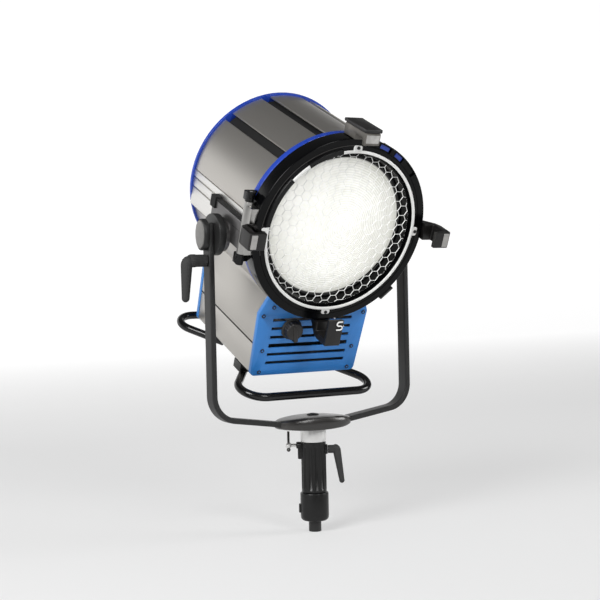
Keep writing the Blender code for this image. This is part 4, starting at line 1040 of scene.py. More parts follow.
# ------------------------------------------------------------------ yoke
@dataclass
class Yoke:
    """The U-shaped strip with its saddle, spigot, hub caps, brake drums and tilt lock."""

    shop: Workshop
    half: float = 0.1998
    thick: float = 0.010
    width: float = 0.026
    bend: float = 0.045
    slope: float = 0.150
    flat: float = 0.052
    top: float = 0.020
    axis_height: float = 0.538
    saddle_bottom: float = 0.186
    saddle_top: float = 0.211
    lock_drop: float = 0.045
    lock_reach: float = 0.036
    lock_length: float = 0.066

    def build(self) -> None:
        """Make every piece of the yoke."""
        self.strip()
        self.saddle()
        self.caps()
        for side in ("left", "right"):
            self.shop.soften("brake_drum_" + side, Finish.BLACK, Body.YOKE, 0.0010, 3)
        self.shop.soften("spigot", Finish.STEEL, Body.YOKE, 0.0009, 3)
        head = ((0.0104, -0.0006), (0.0108, 0.0), (0.0108, 0.0012), (0.0098, 0.0022),
                (0.0060, 0.0027), (0.0040, 0.0012))
        bolt = turned_solid([(r, self.saddle_top + z) for r, z in head], 48)
        self.shop.add("spigot_bolt_finished", bolt, Finish.DARK_STEEL, Body.YOKE,
                      replaces=("spigot_bolt",))
        self.lock()

    def strip(self) -> None:
        """Flat bar bent into a U: a superellipse section carried along the rounded path."""
        drop = self.saddle_bottom + 0.0100 - self.axis_height
        corner = drop + (self.half - self.flat) * self.slope
        left = [(-self.half, 0.0, self.top), (-self.half, 0.0, corner), (-self.flat, 0.0, drop)]
        corners = np.array(left + [(-x, y, z) for x, y, z in reversed(left)])
        bends = (0.0, self.bend, 0.02, 0.02, self.bend, 0.0)
        path = smooth_path(corners, bends, 20)
        path = path + np.array((0.0, 0.0, self.axis_height))
        ends = np.linspace(0.0, 0.0012, 4)[1:]
        first = path[0] - np.outer(ends, (0.0, 0.0, 1.0))
        last = path[-1] - np.outer(ends[::-1], (0.0, 0.0, 1.0))
        path = np.vstack((path[:1], first, path[1:-1], last, path[-1:]))
        pull = np.zeros(len(path))
        pull[:3] = pull[-3:][::-1] = (0.0012, 0.0005, 0.0001)
        bar = along(path, self.thick / 2 - pull, self.width / 2 - pull, (0.0, 1.0, 0.0), 48, 9.0)
        self.shop.add("yoke_strip_finished", bar, Finish.BLACK, Body.YOKE,
                      replaces=("yoke_strip",))

    def saddle(self) -> None:
        """Oval casting under the strip.

        The plan is a superellipse; its top falls and its underside rises towards the ends by
        the square of the distance from the middle.
        """
        low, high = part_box("saddle_plate")
        a = np.linspace(0.0, 2 * np.pi, 120, endpoint=False)
        half_l, half_w = (high[0] - low[0]) / 2, (high[1] - low[1]) / 2
        power = 2.2
        x = half_l * np.sign(np.cos(a)) * np.abs(np.cos(a)) ** (2 / power)
        y = half_w * np.sign(np.sin(a)) * np.abs(np.sin(a)) ** (2 / power)
        shares = np.array((0.30, 0.60, 0.80, 0.93, 0.985, 1.0, 0.985, 0.93, 0.80, 0.60, 0.30))
        levels = np.array((0.0, 0.0, 0.0, 0.02, 0.16, 0.50, 0.80, 0.92, 0.97, 0.99, 1.0))
        thick = self.saddle_top - self.saddle_bottom
        rings = np.empty((len(shares), len(a), 3))
        rings[..., 0] = shares[:, None] * x
        rings[..., 1] = shares[:, None] * y
        out = (rings[..., 0] / half_l) ** 2
        middle = self.saddle_bottom + 0.42 * thick
        flat = self.saddle_bottom + levels[:, None] * thick
        rings[..., 2] = middle + (flat - middle) * (1.0 - 0.42 * out)
        self.shop.add("saddle_finished", skin(rings), Finish.SADDLE, Body.YOKE,
                      replaces=("saddle_plate",))

    def caps(self) -> None:
        """Oval hub caps: a black rim with a grey dome set in it."""
        outer = self.half + self.thick / 2 + 0.0003
        for side, to_side in (("left", TO_LEFT), ("right", TO_RIGHT)):
            sign = -1.0 if side == "left" else 1.0
            rim = turned_solid([(0.97, 0.0), (1.0, 0.0008), (1.0, 0.0088), (0.985, 0.0098),
                                (0.955, 0.0104), (0.925, 0.0104), (0.905, 0.0096)], 72)
            face = turned_solid([(0.900, 0.0092), (0.895, 0.0104), (0.870, 0.0116),
                                 (0.78, 0.0122), (0.52, 0.0125), (0.02, 0.0126)], 72)
            for name, piece, finish in (("rim", rim, Finish.BLACK), ("dome", face, Finish.CAP)):
                scaled = Surface(piece.points * np.array((0.0275, 0.0190, 1.0)), piece.faces)
                placed = scaled.turned(to_side).moved(x=sign * outer, z=self.axis_height)
                self.shop.add(f"hub_cap_{side}_{name}", placed, finish, Body.YOKE,
                              replaces=(f"hub_cap_{side}",) if name == "rim" else ())

    def lock(self) -> None:
        """Tilt lock: a ribbed hub and a long ratchet handle that hangs from it."""
        reach, length = self.lock_reach, self.lock_length
        path = np.array(((-reach + 0.010, 0.0, 0.0), (-reach - 0.001, 0.0, 0.0),
                         (-reach - 0.005, 0.0, -length - 0.005)))
        bent = thinned(smooth_path(path, (0.0, 0.008, 0.0), 12), 0.0015)
        handle = finger(bent, 0.0112, 0.0064, 0.95)
        lobes = 1.0 + 0.03 * np.cos(20 * np.linspace(0, 2 * np.pi, 120, endpoint=False))
        hub = turned_solid([(0.0090, 0.0006), (0.0104, 0.0016), (0.0104, 0.0200), (0.0110, 0.0212),
                            (0.0110, 0.0300), (0.0100, 0.0330)], 120, lobes
                           ).turned(TO_LEFT)
        x = -self.half - self.thick / 2
        surface = (handle + hub).moved(x=x, z=self.axis_height - self.lock_drop)
        self.shop.add("tilt_lock_finished", surface, Finish.PLASTIC, Body.LOCK,
                      replaces=("tilt_lock_lever",))


# ------------------------------------------------------------------ lamp head
@dataclass
class Barrel:
    """The barrel: flanges, panels, slotted rails and slide plates."""

    shop: Workshop
    rise: float = 0.045
    radius: float = 0.162
    flange_inner: float = 0.140
    flange_outer: float = 0.1668
    flange_back: float = 0.0550
    flange_front: float = 0.0671
    latch_angle: float = -44.5

    def build(self) -> None:
        """Make every piece of the barrel."""
        self.flange()
        self.knuckles()
        self.shop.soften("rear_flange", Finish.BLUE, Body.HEAD, 0.0008, 3)
        self.shop.soften("barrel_liner", Finish.VOID, Body.HEAD, 0.0)
        for name in ("top_panel", "upper_panel_left", "upper_panel_right", "side_panel_left",
                     "side_panel_right"):
            self.panel(name)
        for side in ("left", "right"):
            self.shop.soften("rail_" + side, Finish.LIGHT, Body.HEAD, 0.0004, 2)
            self.shop.soften("trunnion_plate_" + side, Finish.GREY, Body.HEAD, 0.0006, 2)
            self.slide_trim(side)

    def flange(self) -> None:
        """Front flange: a flat hoop with rounded rims and the latch's lug below right."""
        inner, outer = self.flange_inner, self.flange_outer
        back, front = self.flange_back, self.flange_front
        outline = rounded_outline([(inner, back), (outer, back), (outer, front),
                                   (inner, front)], (0.0, 0.0012, 0.0012, 0.0), 4)
        hoop = turned_ring(outline, 216).turned(TO_BEAM).moved(z=self.rise)
        lug = prism(rounded_outline([(0.160, -0.0166), (0.1695, -0.0166), (0.1695, 0.0166),
                                     (0.160, 0.0166)], (0.0, 0.002, 0.002, 0.0)), 0.0612, 0.0668,
                    0.0006).turned(turn("Z", self.latch_angle)).turned(TO_BEAM).moved(z=self.rise)
        self.shop.add("front_flange_finished", hoop + lug, Finish.BLUE, Body.HEAD,
                      HeadAxes.read(), ("front_flange",))

    def knuckles(self) -> None:
        """Hinge knuckles: ribbed barrels that flare at the top, each with a web to the flange.

        The ribs are a cosine of sixteen times the angle on the radius.
        """
        lobes = 1.0 + 0.022 * np.cos(16 * np.linspace(0, 2 * np.pi, 160, endpoint=False))
        surface = None
        for low, high in ((0.0900, 0.1070), (-0.0240, -0.0040)):
            barrel = turned_solid([(0.0064, low), (0.0068, low + 0.0006), (0.0071, high - 0.004),
                                   (0.0079, high - 0.0014), (0.0079, high - 0.0004),
                                   (0.0074, high)], 160, lobes).moved(-0.172, -0.075)
            web = prism(rounded_outline([(-0.1790, -0.0738), (-0.1790, -0.0618),
                                         (-0.1480, -0.0618), (-0.1480, -0.0668),
                                         (-0.1665, -0.0668), (-0.1665, -0.0738)],
                                        (0.0, 0.002, 0.0, 0.0, 0.001, 0.0)), low + 0.0005,
                        high - 0.0015, 0.0008)
            surface = barrel + web if surface is None else surface + barrel + web
        self.shop.add("hinge_knuckles", surface, Finish.RING, Body.HEAD, HeadAxes.read(),
                      ("front_flange",))

    def panel(self, name: str) -> None:
        """A curved skin panel with edges rolled inwards.

        Across the panel the angle runs evenly between its two edges; the section is a thin
        strip whose corners are arcs, carried along the barrel.
        """
        points = HeadAxes.read().back(node_points(name)) - np.array((0.0, 0.0, self.rise))
        angle = np.degrees(np.arctan2(points[:, 2], points[:, 0]))
        radius = np.hypot(points[:, 0], points[:, 2])
        a0, a1 = angle.min(), angle.max()
        r0, r1 = radius.min(), self.radius
        y0, y1 = points[:, 1].min(), points[:, 1].max()
        lip = math.degrees(0.0009 / r1)
        t = np.linspace(0.0, np.pi / 2, 5)
        roll_a, roll_r = lip * (1 - np.sin(t)), 0.0009 * (1 - np.cos(t))
        steps = max(16, int((a1 - a0) / 1.2))
        top_a = np.concatenate((a0 + roll_a[::-1], np.linspace(a0 + lip, a1 - lip, steps)[1:-1],
                                a1 - roll_a))
        top_r = np.concatenate((r1 - roll_r[::-1], np.full(steps - 2, r1), r1 - roll_r))
        low_a = np.linspace(a1, a0, steps)
        all_a = np.radians(np.concatenate((top_a, low_a)))
        all_r = np.concatenate((top_r, np.full(steps, r0)))
        ring = np.stack((all_r * np.cos(all_a), all_r * np.sin(all_a)), axis=1)
        heights = np.array((y0, y0 + 0.0004, y1 - 0.0004, y1))
        pull = np.array((0.0004, 0.0, 0.0, 0.0004))
        rings = np.empty((4, len(ring), 3))
        scale = 1.0 - pull[:, None] / r1
        rings[..., 0], rings[..., 2] = scale * ring[:, 0], scale * ring[:, 1] + self.rise
        rings[..., 1] = heights[:, None]
        self.shop.add(name + "_finished", skin(rings), Finish.SATIN, Body.HEAD,
                      HeadAxes.read(), (name,))

    def slide_trim(self, side: str) -> None:
        """Black gib along the top of a slide plate, its end block, and two thin flat-black strips
        that paint the shade of its two grooves.
        """
        high = head_box("trunnion_plate_" + side)[1]
        sign = 1.0 if side == "right" else -1.0
        face = self.radius + 0.0003 + 0.010
        rear, top = high[1], 0.047
        parts = [block((0.0008 - 0.010, -0.0600, top), (0.0006, rear - 0.016, top + 0.0035)),
                 block((-0.0100, rear - 0.0185, top - 0.0145), (0.0034, rear, top + 0.0062)),
                 # Painted shade: the two thin flat-black strips stand on the plate where its
                 # grooves are; no groove is cut.
                 block((-0.0020, -0.0600, 0.0463), (0.0003, -0.0095, 0.0467)),
                 block((-0.0020, -0.0600, 0.0285), (0.0003, -0.0300, 0.0291))]
        surface = parts[0] + parts[1] + parts[2] + parts[3]
        if sign < 0:
            surface = Surface(surface.points * np.array((-1.0, 1.0, 1.0)), surface.faces)
        self.shop.add("slide_trim_" + side, surface.moved(sign * face), Finish.VOID, Body.HEAD,
                      HeadAxes.read(), bevel=0.0003)


@dataclass
class LowerHousing:
    """The box under the barrel: skins, tray, end panels, gland and igniter."""

    shop: Workshop
    front: float = -0.070
    rear: float = 0.176
    screw_places: tuple[tuple[float, float], ...] = ((0.103, -0.127), (0.085, -0.111),
                                                     (0.093, -0.1955), (0.092, -0.238))

    def build(self) -> None:
        """Make every piece of the lower housing."""
        for name in ("lower_side_left", "lower_side_right", "base_tray"):
            self.shop.soften(name, Finish.SATIN, Body.HEAD, 0.0005, 2, 30.0)
        self.shop.soften("front_panel", Finish.AZURE, Body.HEAD, 0.0005, 2)
        self.shop.soften("rear_panel", Finish.AZURE, Body.HEAD, 0.0005, 2)
        self.shop.soften("cable_gland", Finish.PLASTIC, Body.HEAD, 0.0004)
        self.screws()
        self.shop.soften("igniter_box", Finish.GREY, Body.HEAD, 0.0)

    def screws(self) -> None:
        """Black screws over the heads along both edges of the front and rear panels."""
        head = screw_head(0.0037, 0.0016)
        front = rear = None
        for x, z in self.screw_places:
            for sign in (-1.0, 1.0):
                ahead = head.turned(TO_BEAM).moved(sign * x, self.front - 0.0010, z)
                behind = head.turned(TO_REAR).moved(sign * x, self.rear - 0.0002, z)
                front = ahead if front is None else front + ahead
                rear = behind if rear is None else rear + behind
        for name, surface in (("front_panel_screws", front), ("rear_panel_screws", rear)):
            self.shop.add(name, surface, Finish.BLACK, Body.HEAD, HeadAxes.read())


@dataclass
class Skids:
    """Two bent round bars and the clamps that hold them under the tray."""

    shop: Workshop
    radius: float = 0.0075
    plane: float = -0.262
    half: float = 0.1305
    bend: float = 0.038
    leg_x: float = 0.080

    def build(self) -> None:
        """Make both skids and their clamps."""
        for name, bar_y, leg_y in (("front", -0.121, 0.0), ("rear", 0.222, 0.101)):
            self.shop.add(f"skid_{name}_finished", self.bar(bar_y, leg_y), Finish.SKID,
                          Body.HEAD, HeadAxes.read(), ("skid_" + name,))
            self.shop.soften("skid_clamp_" + name, Finish.BLACK, Body.HEAD, 0.0008, 2)

    def bar(self, bar_y: float, leg_y: float) -> Surface:
        """One skid: a round section along a path with two wide bends."""
        corner = self.half
        for _ in range(40):
            leg = np.array((self.leg_x - corner, leg_y - bar_y))
            half = math.acos(-leg[0] / np.linalg.norm(leg)) / 2
            corner += self.half - (corner + self.bend - self.bend / math.tan(half))
        points = np.array(((-self.leg_x, leg_y, 0.0), (-corner, bar_y, 0.0),
                           (corner, bar_y, 0.0), (self.leg_x, leg_y, 0.0)))
        path = smooth_path(points, (0.0, self.bend, self.bend, 0.0), 24)
        path[:, 2] = self.plane
        radii = np.full(len(path), self.radius)
        return along(path, radii, radii, (0.0, 0.0, 1.0), 32)


# ------------------------------------------------------------------ lens door
@dataclass
class LensDoor:
    """The door: ring, lens, mesh, guard ring, hinge strap and four accessory brackets."""

    shop: Workshop
    rise: float = 0.045
    ring_radius: float = 0.1683
    back: float = 0.0705
    front: float = 0.1025
    mouth: float = 0.1435
    mesh_seat: float = 0.0962
    mesh_rim: float = 0.1385
    lens_radius: float = 0.127
    lens_back: float = 0.0731
    lens_dome: float = 0.0125
    windows: tuple[tuple[float, float], ...] = ((40.0, 50.5), (53.5, 62.0), (65.0, 79.0))
    pads: tuple[tuple[float, float], ...] = ((54.2, 60.0), (66.0, 73.0))
    hoods: tuple[tuple[float, float], ...] = ((101.0, 126.5), (141.0, 176.0))
    cell: float = 0.0178
    wire: float = 0.0008
    hoop_radius: float = 0.1288
    hoop_seat: float = 0.0806
    guard_inner: float = 0.1425
    guard_outer: float = 0.1477
    claws: tuple[tuple[str, float, float, float, float, float], ...] = (
        ("right", 0.0, 0.199, 0.148, 0.186, 0.168), ("top", 90.0, 0.189, 0.142, 0.179, 0.168),
        ("left", 180.0, 0.199, 0.148, 0.186, 0.168), ("bottom", 270.0, 0.199, 0.148, 0.186, 0.150))

    def build(self) -> None:
        """Make every piece of the door."""
        self.ring()
        self.lens()
        self.mesh()
        self.guard()
        self.retainer()
        self.shop.soften("hinge_strap", Finish.STRAP, Body.DOOR, 0.0006, 2)
        self.brackets()
        self.spring()
        self.shop.soften("hinge_pin", Finish.STEEL, Body.HEAD, 0.0004)
        self.shop.soften("door_latch", Finish.BLACK, Body.LATCH, 0.0005)
        self.shop.soften("top_clip", Finish.BLACK, Body.CLIP, 0.0005)

    def on_axis(self, surface: Surface) -> Surface:
        """A shape turned about z, set on the barrel axis with +z along the beam."""
        return surface.turned(TO_BEAM).moved(z=self.rise)

    def ring(self) -> None:
        """Door ring.

        The profile (radius, distance along the beam) turns about the barrel axis; inside the
        windows the outer wall behind the front lip steps in to a smaller radius.
        """
        r = self.ring_radius
        corners = [(0.1215, self.back), (0.1215, self.back + 0.0023),
                   (0.1275, self.back + 0.0023), (0.1275, 0.0800), (0.1325, 0.0800),
                   (self.mesh_rim, self.mesh_seat), (self.mouth, self.mesh_seat),
                   (self.mouth, self.front), (0.1548, self.front), (0.1553, self.front - 0.0009),
                   (0.1561, self.front - 0.0009), (0.1562, self.front), (0.1566, self.front),
                   (0.1654, self.front), (0.1663, self.front), (r, self.front),
                   (r, self.front - 0.0052), (r, self.front - 0.0056), (r, self.back)]
        radii = [0.0, 0.0, 0.0, 0.0, 0.0, 0.0, 0.0, 0.0010, 0.0, 0.0, 0.0, 0.0, 0.0, 0.0, 0.0,
                 0.0018, 0.0, 0.0, 0.0008]
        outline = rounded_outline(corners, radii, 5)
        deep = outline.copy()
        inside = (outline[:, 1] < self.front - 0.0054) & (outline[:, 0] > 0.158)
        deep[inside, 0] = 0.1585
        sunk = (outline[:, 1] > self.front - 0.0012) & (outline[:, 0] > 0.1563)
        sunk &= outline[:, 0] < 0.1662
        deep[sunk, 1] = self.front - 0.0042
        edges = np.array(self.windows).ravel()
        angles = np.unique(np.concatenate((np.linspace(0, 360, 241)[:-1], edges - 0.02,
                                           edges + 0.02)))
        open_here = np.any([(angles > a) & (angles < b) for a, b in self.windows], axis=0)
        shape = np.where(open_here[:, None, None], deep[None], outline[None])
        t = np.radians(angles)[:, None]
        rings = np.stack((shape[..., 0] * np.cos(t), shape[..., 0] * np.sin(t), shape[..., 1]),
                         axis=2)
        self.shop.add("door_ring_finished", self.on_axis(skin(rings, True)), Finish.HOOP,
                      Body.DOOR, HeadAxes.read(), ("door_ring",))
        pads = None
        for start, end in self.pads:
            pad = turned_ring([(0.1580, self.front - 0.0044), (0.1650, self.front - 0.0044),
                               (0.1650, self.front - 0.0030), (0.1580, self.front - 0.0030)],
                              12, start, end)
            pads = pad if pads is None else pads + pad
        self.shop.add("flange_pads", self.on_axis(pads), Finish.BLUE, Body.DOOR,
                      HeadAxes.read())
        # Painted highlight: a dark-steel line, lighter than the black ring, along the ring's front
        # edge only from 84 to 196 degrees, the upper left where the key light catches it.
        edge = turned_ring([(0.1549, self.front - 0.0006), (0.1561, self.front - 0.0006),
                            (0.1559, self.front + 0.0003), (0.1551, self.front + 0.0003)],
                           160, 84.0, 196.0)
        self.shop.add("painted_highlight_ring_edge", self.on_axis(edge), Finish.DARK_STEEL, Body.DOOR,
                      HeadAxes.read())
        hood = None
        for start, end in self.hoods:
            part = turned_ring(rounded_outline([(0.1424, self.front + 0.0002),
                                                (0.1424, self.front + 0.0044),
                                                (0.1508, self.front + 0.0044),
                                                (0.1518, self.front + 0.0002)],
                                               (0.0, 0.0008, 0.0012, 0.0), 3), 48, start, end)
            hood = part if hood is None else hood + part
        self.shop.add("guard_clamps", self.on_axis(hood), Finish.RING, Body.DOOR,
                      HeadAxes.read())

    def lens(self) -> None:
        """Stepped lens on a shallow dome.

        Each facet slopes outwards and ends in a short riser; the whole front rises towards the
        middle by the dome's height times one minus the square of the radius over its limit.
        """
        steps, limit = 29, self.lens_radius - 0.004
        top = self.lens_back + 0.0056
        edges = np.linspace(0.010, limit, steps + 1)
        inner, outer = edges[:-1], edges[1:]
        slope = 0.0013 * (0.35 + 0.65 * outer / limit)
        saw = np.stack((np.stack((inner + 0.00025, np.full(steps, top)), axis=1),
                        np.stack((outer, top - slope), axis=1)), axis=1).reshape(-1, 2)
        dome_r = np.linspace(0.0002, 0.010, 6)
        dome = np.stack((dome_r, top - 0.0004 * (dome_r / 0.010) ** 2), axis=1)
        for part in (saw, dome):
            part[:, 1] += self.lens_dome * (1.0 - (part[:, 0] / limit) ** 2)
        rim = np.array(((limit + 0.0003, top), (self.lens_radius - 0.0006, top),
                        (self.lens_radius, top - 0.0006), (self.lens_radius, self.lens_back),
                        (0.0002, self.lens_back)))
        profile = np.vstack((dome, saw, rim))
        self.shop.add("lens_finished", self.on_axis(turned_solid(profile, 160)), Finish.GLASS,
                      Body.DOOR, HeadAxes.read(), ("lens",), sharp=24.0)

    def retainer(self) -> None:
        """Spring hoop that holds the lens: a round wire turned about the barrel axis."""
        a = np.linspace(0.0, 2 * np.pi, 12, endpoint=False)
        wire = np.stack((self.hoop_radius + 0.0014 * np.cos(a),
                         self.hoop_seat + 0.0009 * np.sin(a)), axis=1)
        self.shop.add("lens_retainer_finished", self.on_axis(turned_ring(wire, 144)),
                      Finish.PLASTIC, Body.DOOR, HeadAxes.read(), ("lens_retainer",))

    def mesh(self) -> None:
        """Honeycomb guard: one hexagonal hoop for each cell, clipped to the rim.

        Cell centres lie on a triangular grid. Each hoop runs from the cell's edge inwards by
        half a wire and slopes down towards the hole; points past the rim are drawn back to it.
        """
        pitch, half = self.cell, self.wire / 2
        count = int(self.mesh_rim / pitch) + 2
        i, j = np.meshgrid(np.arange(-count, count + 1), np.arange(-count, count + 1))
        x = j.ravel() * pitch * math.sqrt(3) / 2
        z = (i + 0.5 * (j % 2)).ravel() * pitch
        keep = np.hypot(x, z) < self.mesh_rim + 0.25 * pitch
        centres = np.stack((x[keep], z[keep]), axis=1)
        angle = np.radians(60 * np.arange(6))
        corner = np.stack((np.cos(angle), np.sin(angle)), axis=1)
        reach = pitch / math.sqrt(3)
        outer = centres[:, None, :] + reach * corner
        inner = centres[:, None, :] + (reach - half / math.cos(math.radians(30))) * corner
        plane = np.stack((outer, inner, inner, outer), axis=1)
        distance = np.linalg.norm(plane, axis=3, keepdims=True)
        plane = plane * np.minimum(1.0, self.mesh_rim / np.maximum(distance, 1e-9))
        level = self.mesh_seat - 0.0010 + np.array((0.0010, 0.0004, -0.0004, -0.0010))
        cells = len(centres)
        points = np.empty((cells, 4, 6, 3))
        points[..., 0], points[..., 1] = plane[..., 0], plane[..., 1]
        points[..., 2] = level[None, :, None]
        base = grid_faces(4, 6, True, True)
        faces = (base[None] + 24 * np.arange(cells)[:, None, None]).reshape(-1, 4)
        hoops = Surface(points.reshape(-1, 3), [faces])
        self.shop.add("wire_mesh_finished", self.on_axis(hoops), Finish.WIRE, Body.DOOR,
                      HeadAxes.read(), ("wire_mesh",), sharp=20.0)

    def guard(self) -> None:
        """Guard ring: a thin rounded hoop with four tabs and a screw in each."""
        mid = (self.guard_inner + self.guard_outer) / 2
        half = (self.guard_outer - self.guard_inner) / 2
        a = np.linspace(0.0, 2 * np.pi, 20, endpoint=False)
        u = np.sign(np.cos(a)) * np.abs(np.cos(a)) ** 0.6
        v = np.sign(np.sin(a)) * np.abs(np.sin(a)) ** 0.6
        base = self.front + 0.0003
        hoop = turned_ring(np.stack((mid + half * u, base + 0.0015 + 0.0015 * v), axis=1), 180)
        tab = prism(rounded_outline([(self.guard_outer - 0.002, -0.008), (0.156, -0.008),
                                     (0.156, 0.008), (self.guard_outer - 0.002, 0.008)],
                                    (0.0, 0.0035, 0.0035, 0.0)), base, base + 0.0024, 0.0006)
        screw = screw_head(0.0030, 0.0022).moved(x=0.152, z=base + 0.0023)
        tabs, screws = [], []
        for quarter in range(4):
            rotation = turn("Z", 90.0 * quarter)
            tabs.append(tab.turned(rotation))
            screws.append(screw.turned(rotation))
        self.shop.add("guard_ring_finished",
                      self.on_axis(hoop + tabs[0] + tabs[1] + tabs[2] + tabs[3]),
                      Finish.GUARD, Body.DOOR, HeadAxes.read(), ("guard_ring",))
        self.shop.add("guard_screws", self.on_axis(screws[0] + screws[1] + screws[2]
                                                   + screws[3]),
                      Finish.BLACK, Body.DOOR, HeadAxes.read())

    def brackets(self) -> None:
        """Four open brackets: C-shaped claws, with a bright face let into each tip but the bottom
        one's.

        A claw's outline (radius, distance along the beam) is raised across its width and turned
        to its place round the ring; the left one is cut away where the hinge passes.
        """
        base = self.ring_radius + 0.0003
        for name, angle, out, tip, floor, lip in self.claws:
            corners = [(base, 0.0825), (0.176, 0.0865), (out - 0.004, 0.1040), (out, 0.1160),
                       (out, tip), (lip, tip), (lip, tip - 0.008), (floor, tip - 0.008),
                       (floor, 0.110), (base, 0.110)]
            radii = [0.0, 0.002, 0.004, 0.003, 0.0030, 0.0018, 0.0010, 0.0012, 0.0012, 0.0]
            if name == "left":
                corners[0], corners[1] = (base, 0.1010), (0.184, 0.1010)
                corners[2], radii[1] = (out - 0.002, 0.1075), 0.001
            elif name == "top":
                corners[0], corners[1], corners[2] = (base, 0.0728), (out - 0.0006, 0.0728), (
                    out - 0.0004, 0.0950)
            outline = rounded_outline(corners, radii, 4)
            claw = prism(outline, -0.015, 0.015, 0.0014, 3)
            inner = out - 0.0140 if name in ("left", "right") else lip + 0.004
            plate = prism(rounded_outline([(inner, -0.0125), (out - 0.003, -0.0125),
                                           (out - 0.003, 0.0125), (inner, 0.0125)],
                                          (0.0012,) * 4), -0.0004, 0.0006, 0.0003)
            spin = turn("Z", angle)
            stand = np.array(((1.0, 0.0, 0.0), (0.0, 0.0, -1.0), (0.0, 1.0, 0.0)))
            placed = Surface(claw.points @ stand.T, claw.faces).turned(spin)
            self.shop.add(f"bracket_{name}_finished", self.on_axis(placed),
                          Finish.BROWN if name == "top" else Finish.CLAW, Body.DOOR,
                          HeadAxes.read(), ("bracket_" + name,))
            if name != "bottom":
                tipped = plate.moved(z=tip).turned(spin)
                self.shop.add(f"bracket_{name}_tip", self.on_axis(tipped), Finish.TIP,
                              Body.DOOR, HeadAxes.read())

    def spring(self) -> None:
        """Retaining spring: a wire bent into an S on the face of the bottom bracket."""
        low, high = head_box("retaining_spring")
        x, z = (low[0] + high[0]) / 2, (low[2] + high[2]) / 2
        corners = np.array([(-0.005, 0, -0.0075), (0.0055, 0, -0.0075), (0.0055, 0, 0.0),
                            (-0.0055, 0, 0.0), (-0.0055, 0, 0.0075), (0.005, 0, 0.0075)])
        path = smooth_path(corners, (0, 0.0036, 0.0036, 0.0036, 0.0036, 0), 10)
        path = path + np.array((x, (low[1] + high[1]) / 2, z))
        radii = np.full(len(path), 0.0013)
        self.shop.add("retaining_spring_finished", along(path, radii, radii, (0, 1, 0), 16),
                      Finish.GUARD, Body.DOOR, HeadAxes.read(), ("retaining_spring",))


# ------------------------------------------------------------------ inside the barrel
@dataclass
class FocusDrive:
    """The focus knob on the front panel with the lead screw behind it."""

    shop: Workshop
    x: float = -0.042
    z: float = -0.154
    panel: float = -0.070
    radius: float = 0.020
    depth: float = 0.017

    def build(self) -> None:
        """Make the knob, its pointer and the lead screw."""
        steps = 180
        a = np.linspace(0, 2 * np.pi, steps, endpoint=False)
        lobes = 1.0 - 0.045 * (0.5 + 0.5 * np.cos(18 * a)) ** 2
        r, d = self.radius, self.depth
        skirt = turned_solid([(r * 0.96, 0.0006), (r, 0.0012), (r, 0.0034), (r * 0.97, 0.0044),
                              (r * 0.90, 0.0050)], 96)
        grip = turned_solid([(r * 0.90, 0.0040), (r * 0.88, 0.0048), (r * 0.84, d - 0.0024),
                             (r * 0.81, d - 0.0008), (r * 0.76, d), (r * 0.02, d)], steps, lobes)
        pointer = prism(rounded_outline([(-0.0036, r * 0.55), (-0.0044, -r * 1.02),
                                         (0.0044, -r * 1.02), (0.0036, r * 0.55)],
                                        (0.003, 0.002, 0.002, 0.003)), 0.0046, d + 0.0014,
                        0.0012).turned(turn("Z", 14.0))
        for name, piece, finish in (("knob_skirt", skirt, Finish.PLASTIC),
                                    ("knob_grip", grip, Finish.RUBBER),
                                    ("knob_pointer", pointer, Finish.RUBBER)):
            placed = piece.turned(TO_BEAM).moved(self.x, self.panel, self.z)
            self.shop.add(name, placed, finish, Body.KNOB, HeadAxes.read(),
                          ("focus_knob",) if name == "knob_skirt" else ())
        self.shop.soften("focus_screw", Finish.STEEL, Body.KNOB, 0.0)


@dataclass
class LampCarriage:
    """The sliding carriage with the socket, the lamp and its reflector."""

    shop: Workshop

    def build(self) -> None:
        """Make every piece of the carriage."""
        self.shop.soften("guide_rod_left", Finish.STEEL, Body.HEAD, 0.0004)
        self.shop.soften("guide_rod_right", Finish.STEEL, Body.HEAD, 0.0004)
        self.shop.soften("lamp_carriage", Finish.GREY, Body.LAMP, 0.0006)
        self.shop.soften("lamp_socket", Finish.CERAMIC, Body.LAMP, 0.0008)
        self.shop.soften("lamp", Finish.CLEAR, Body.LAMP, 0.0)
        self.shop.soften("reflector", Finish.MIRROR, Body.LAMP, 0.0)


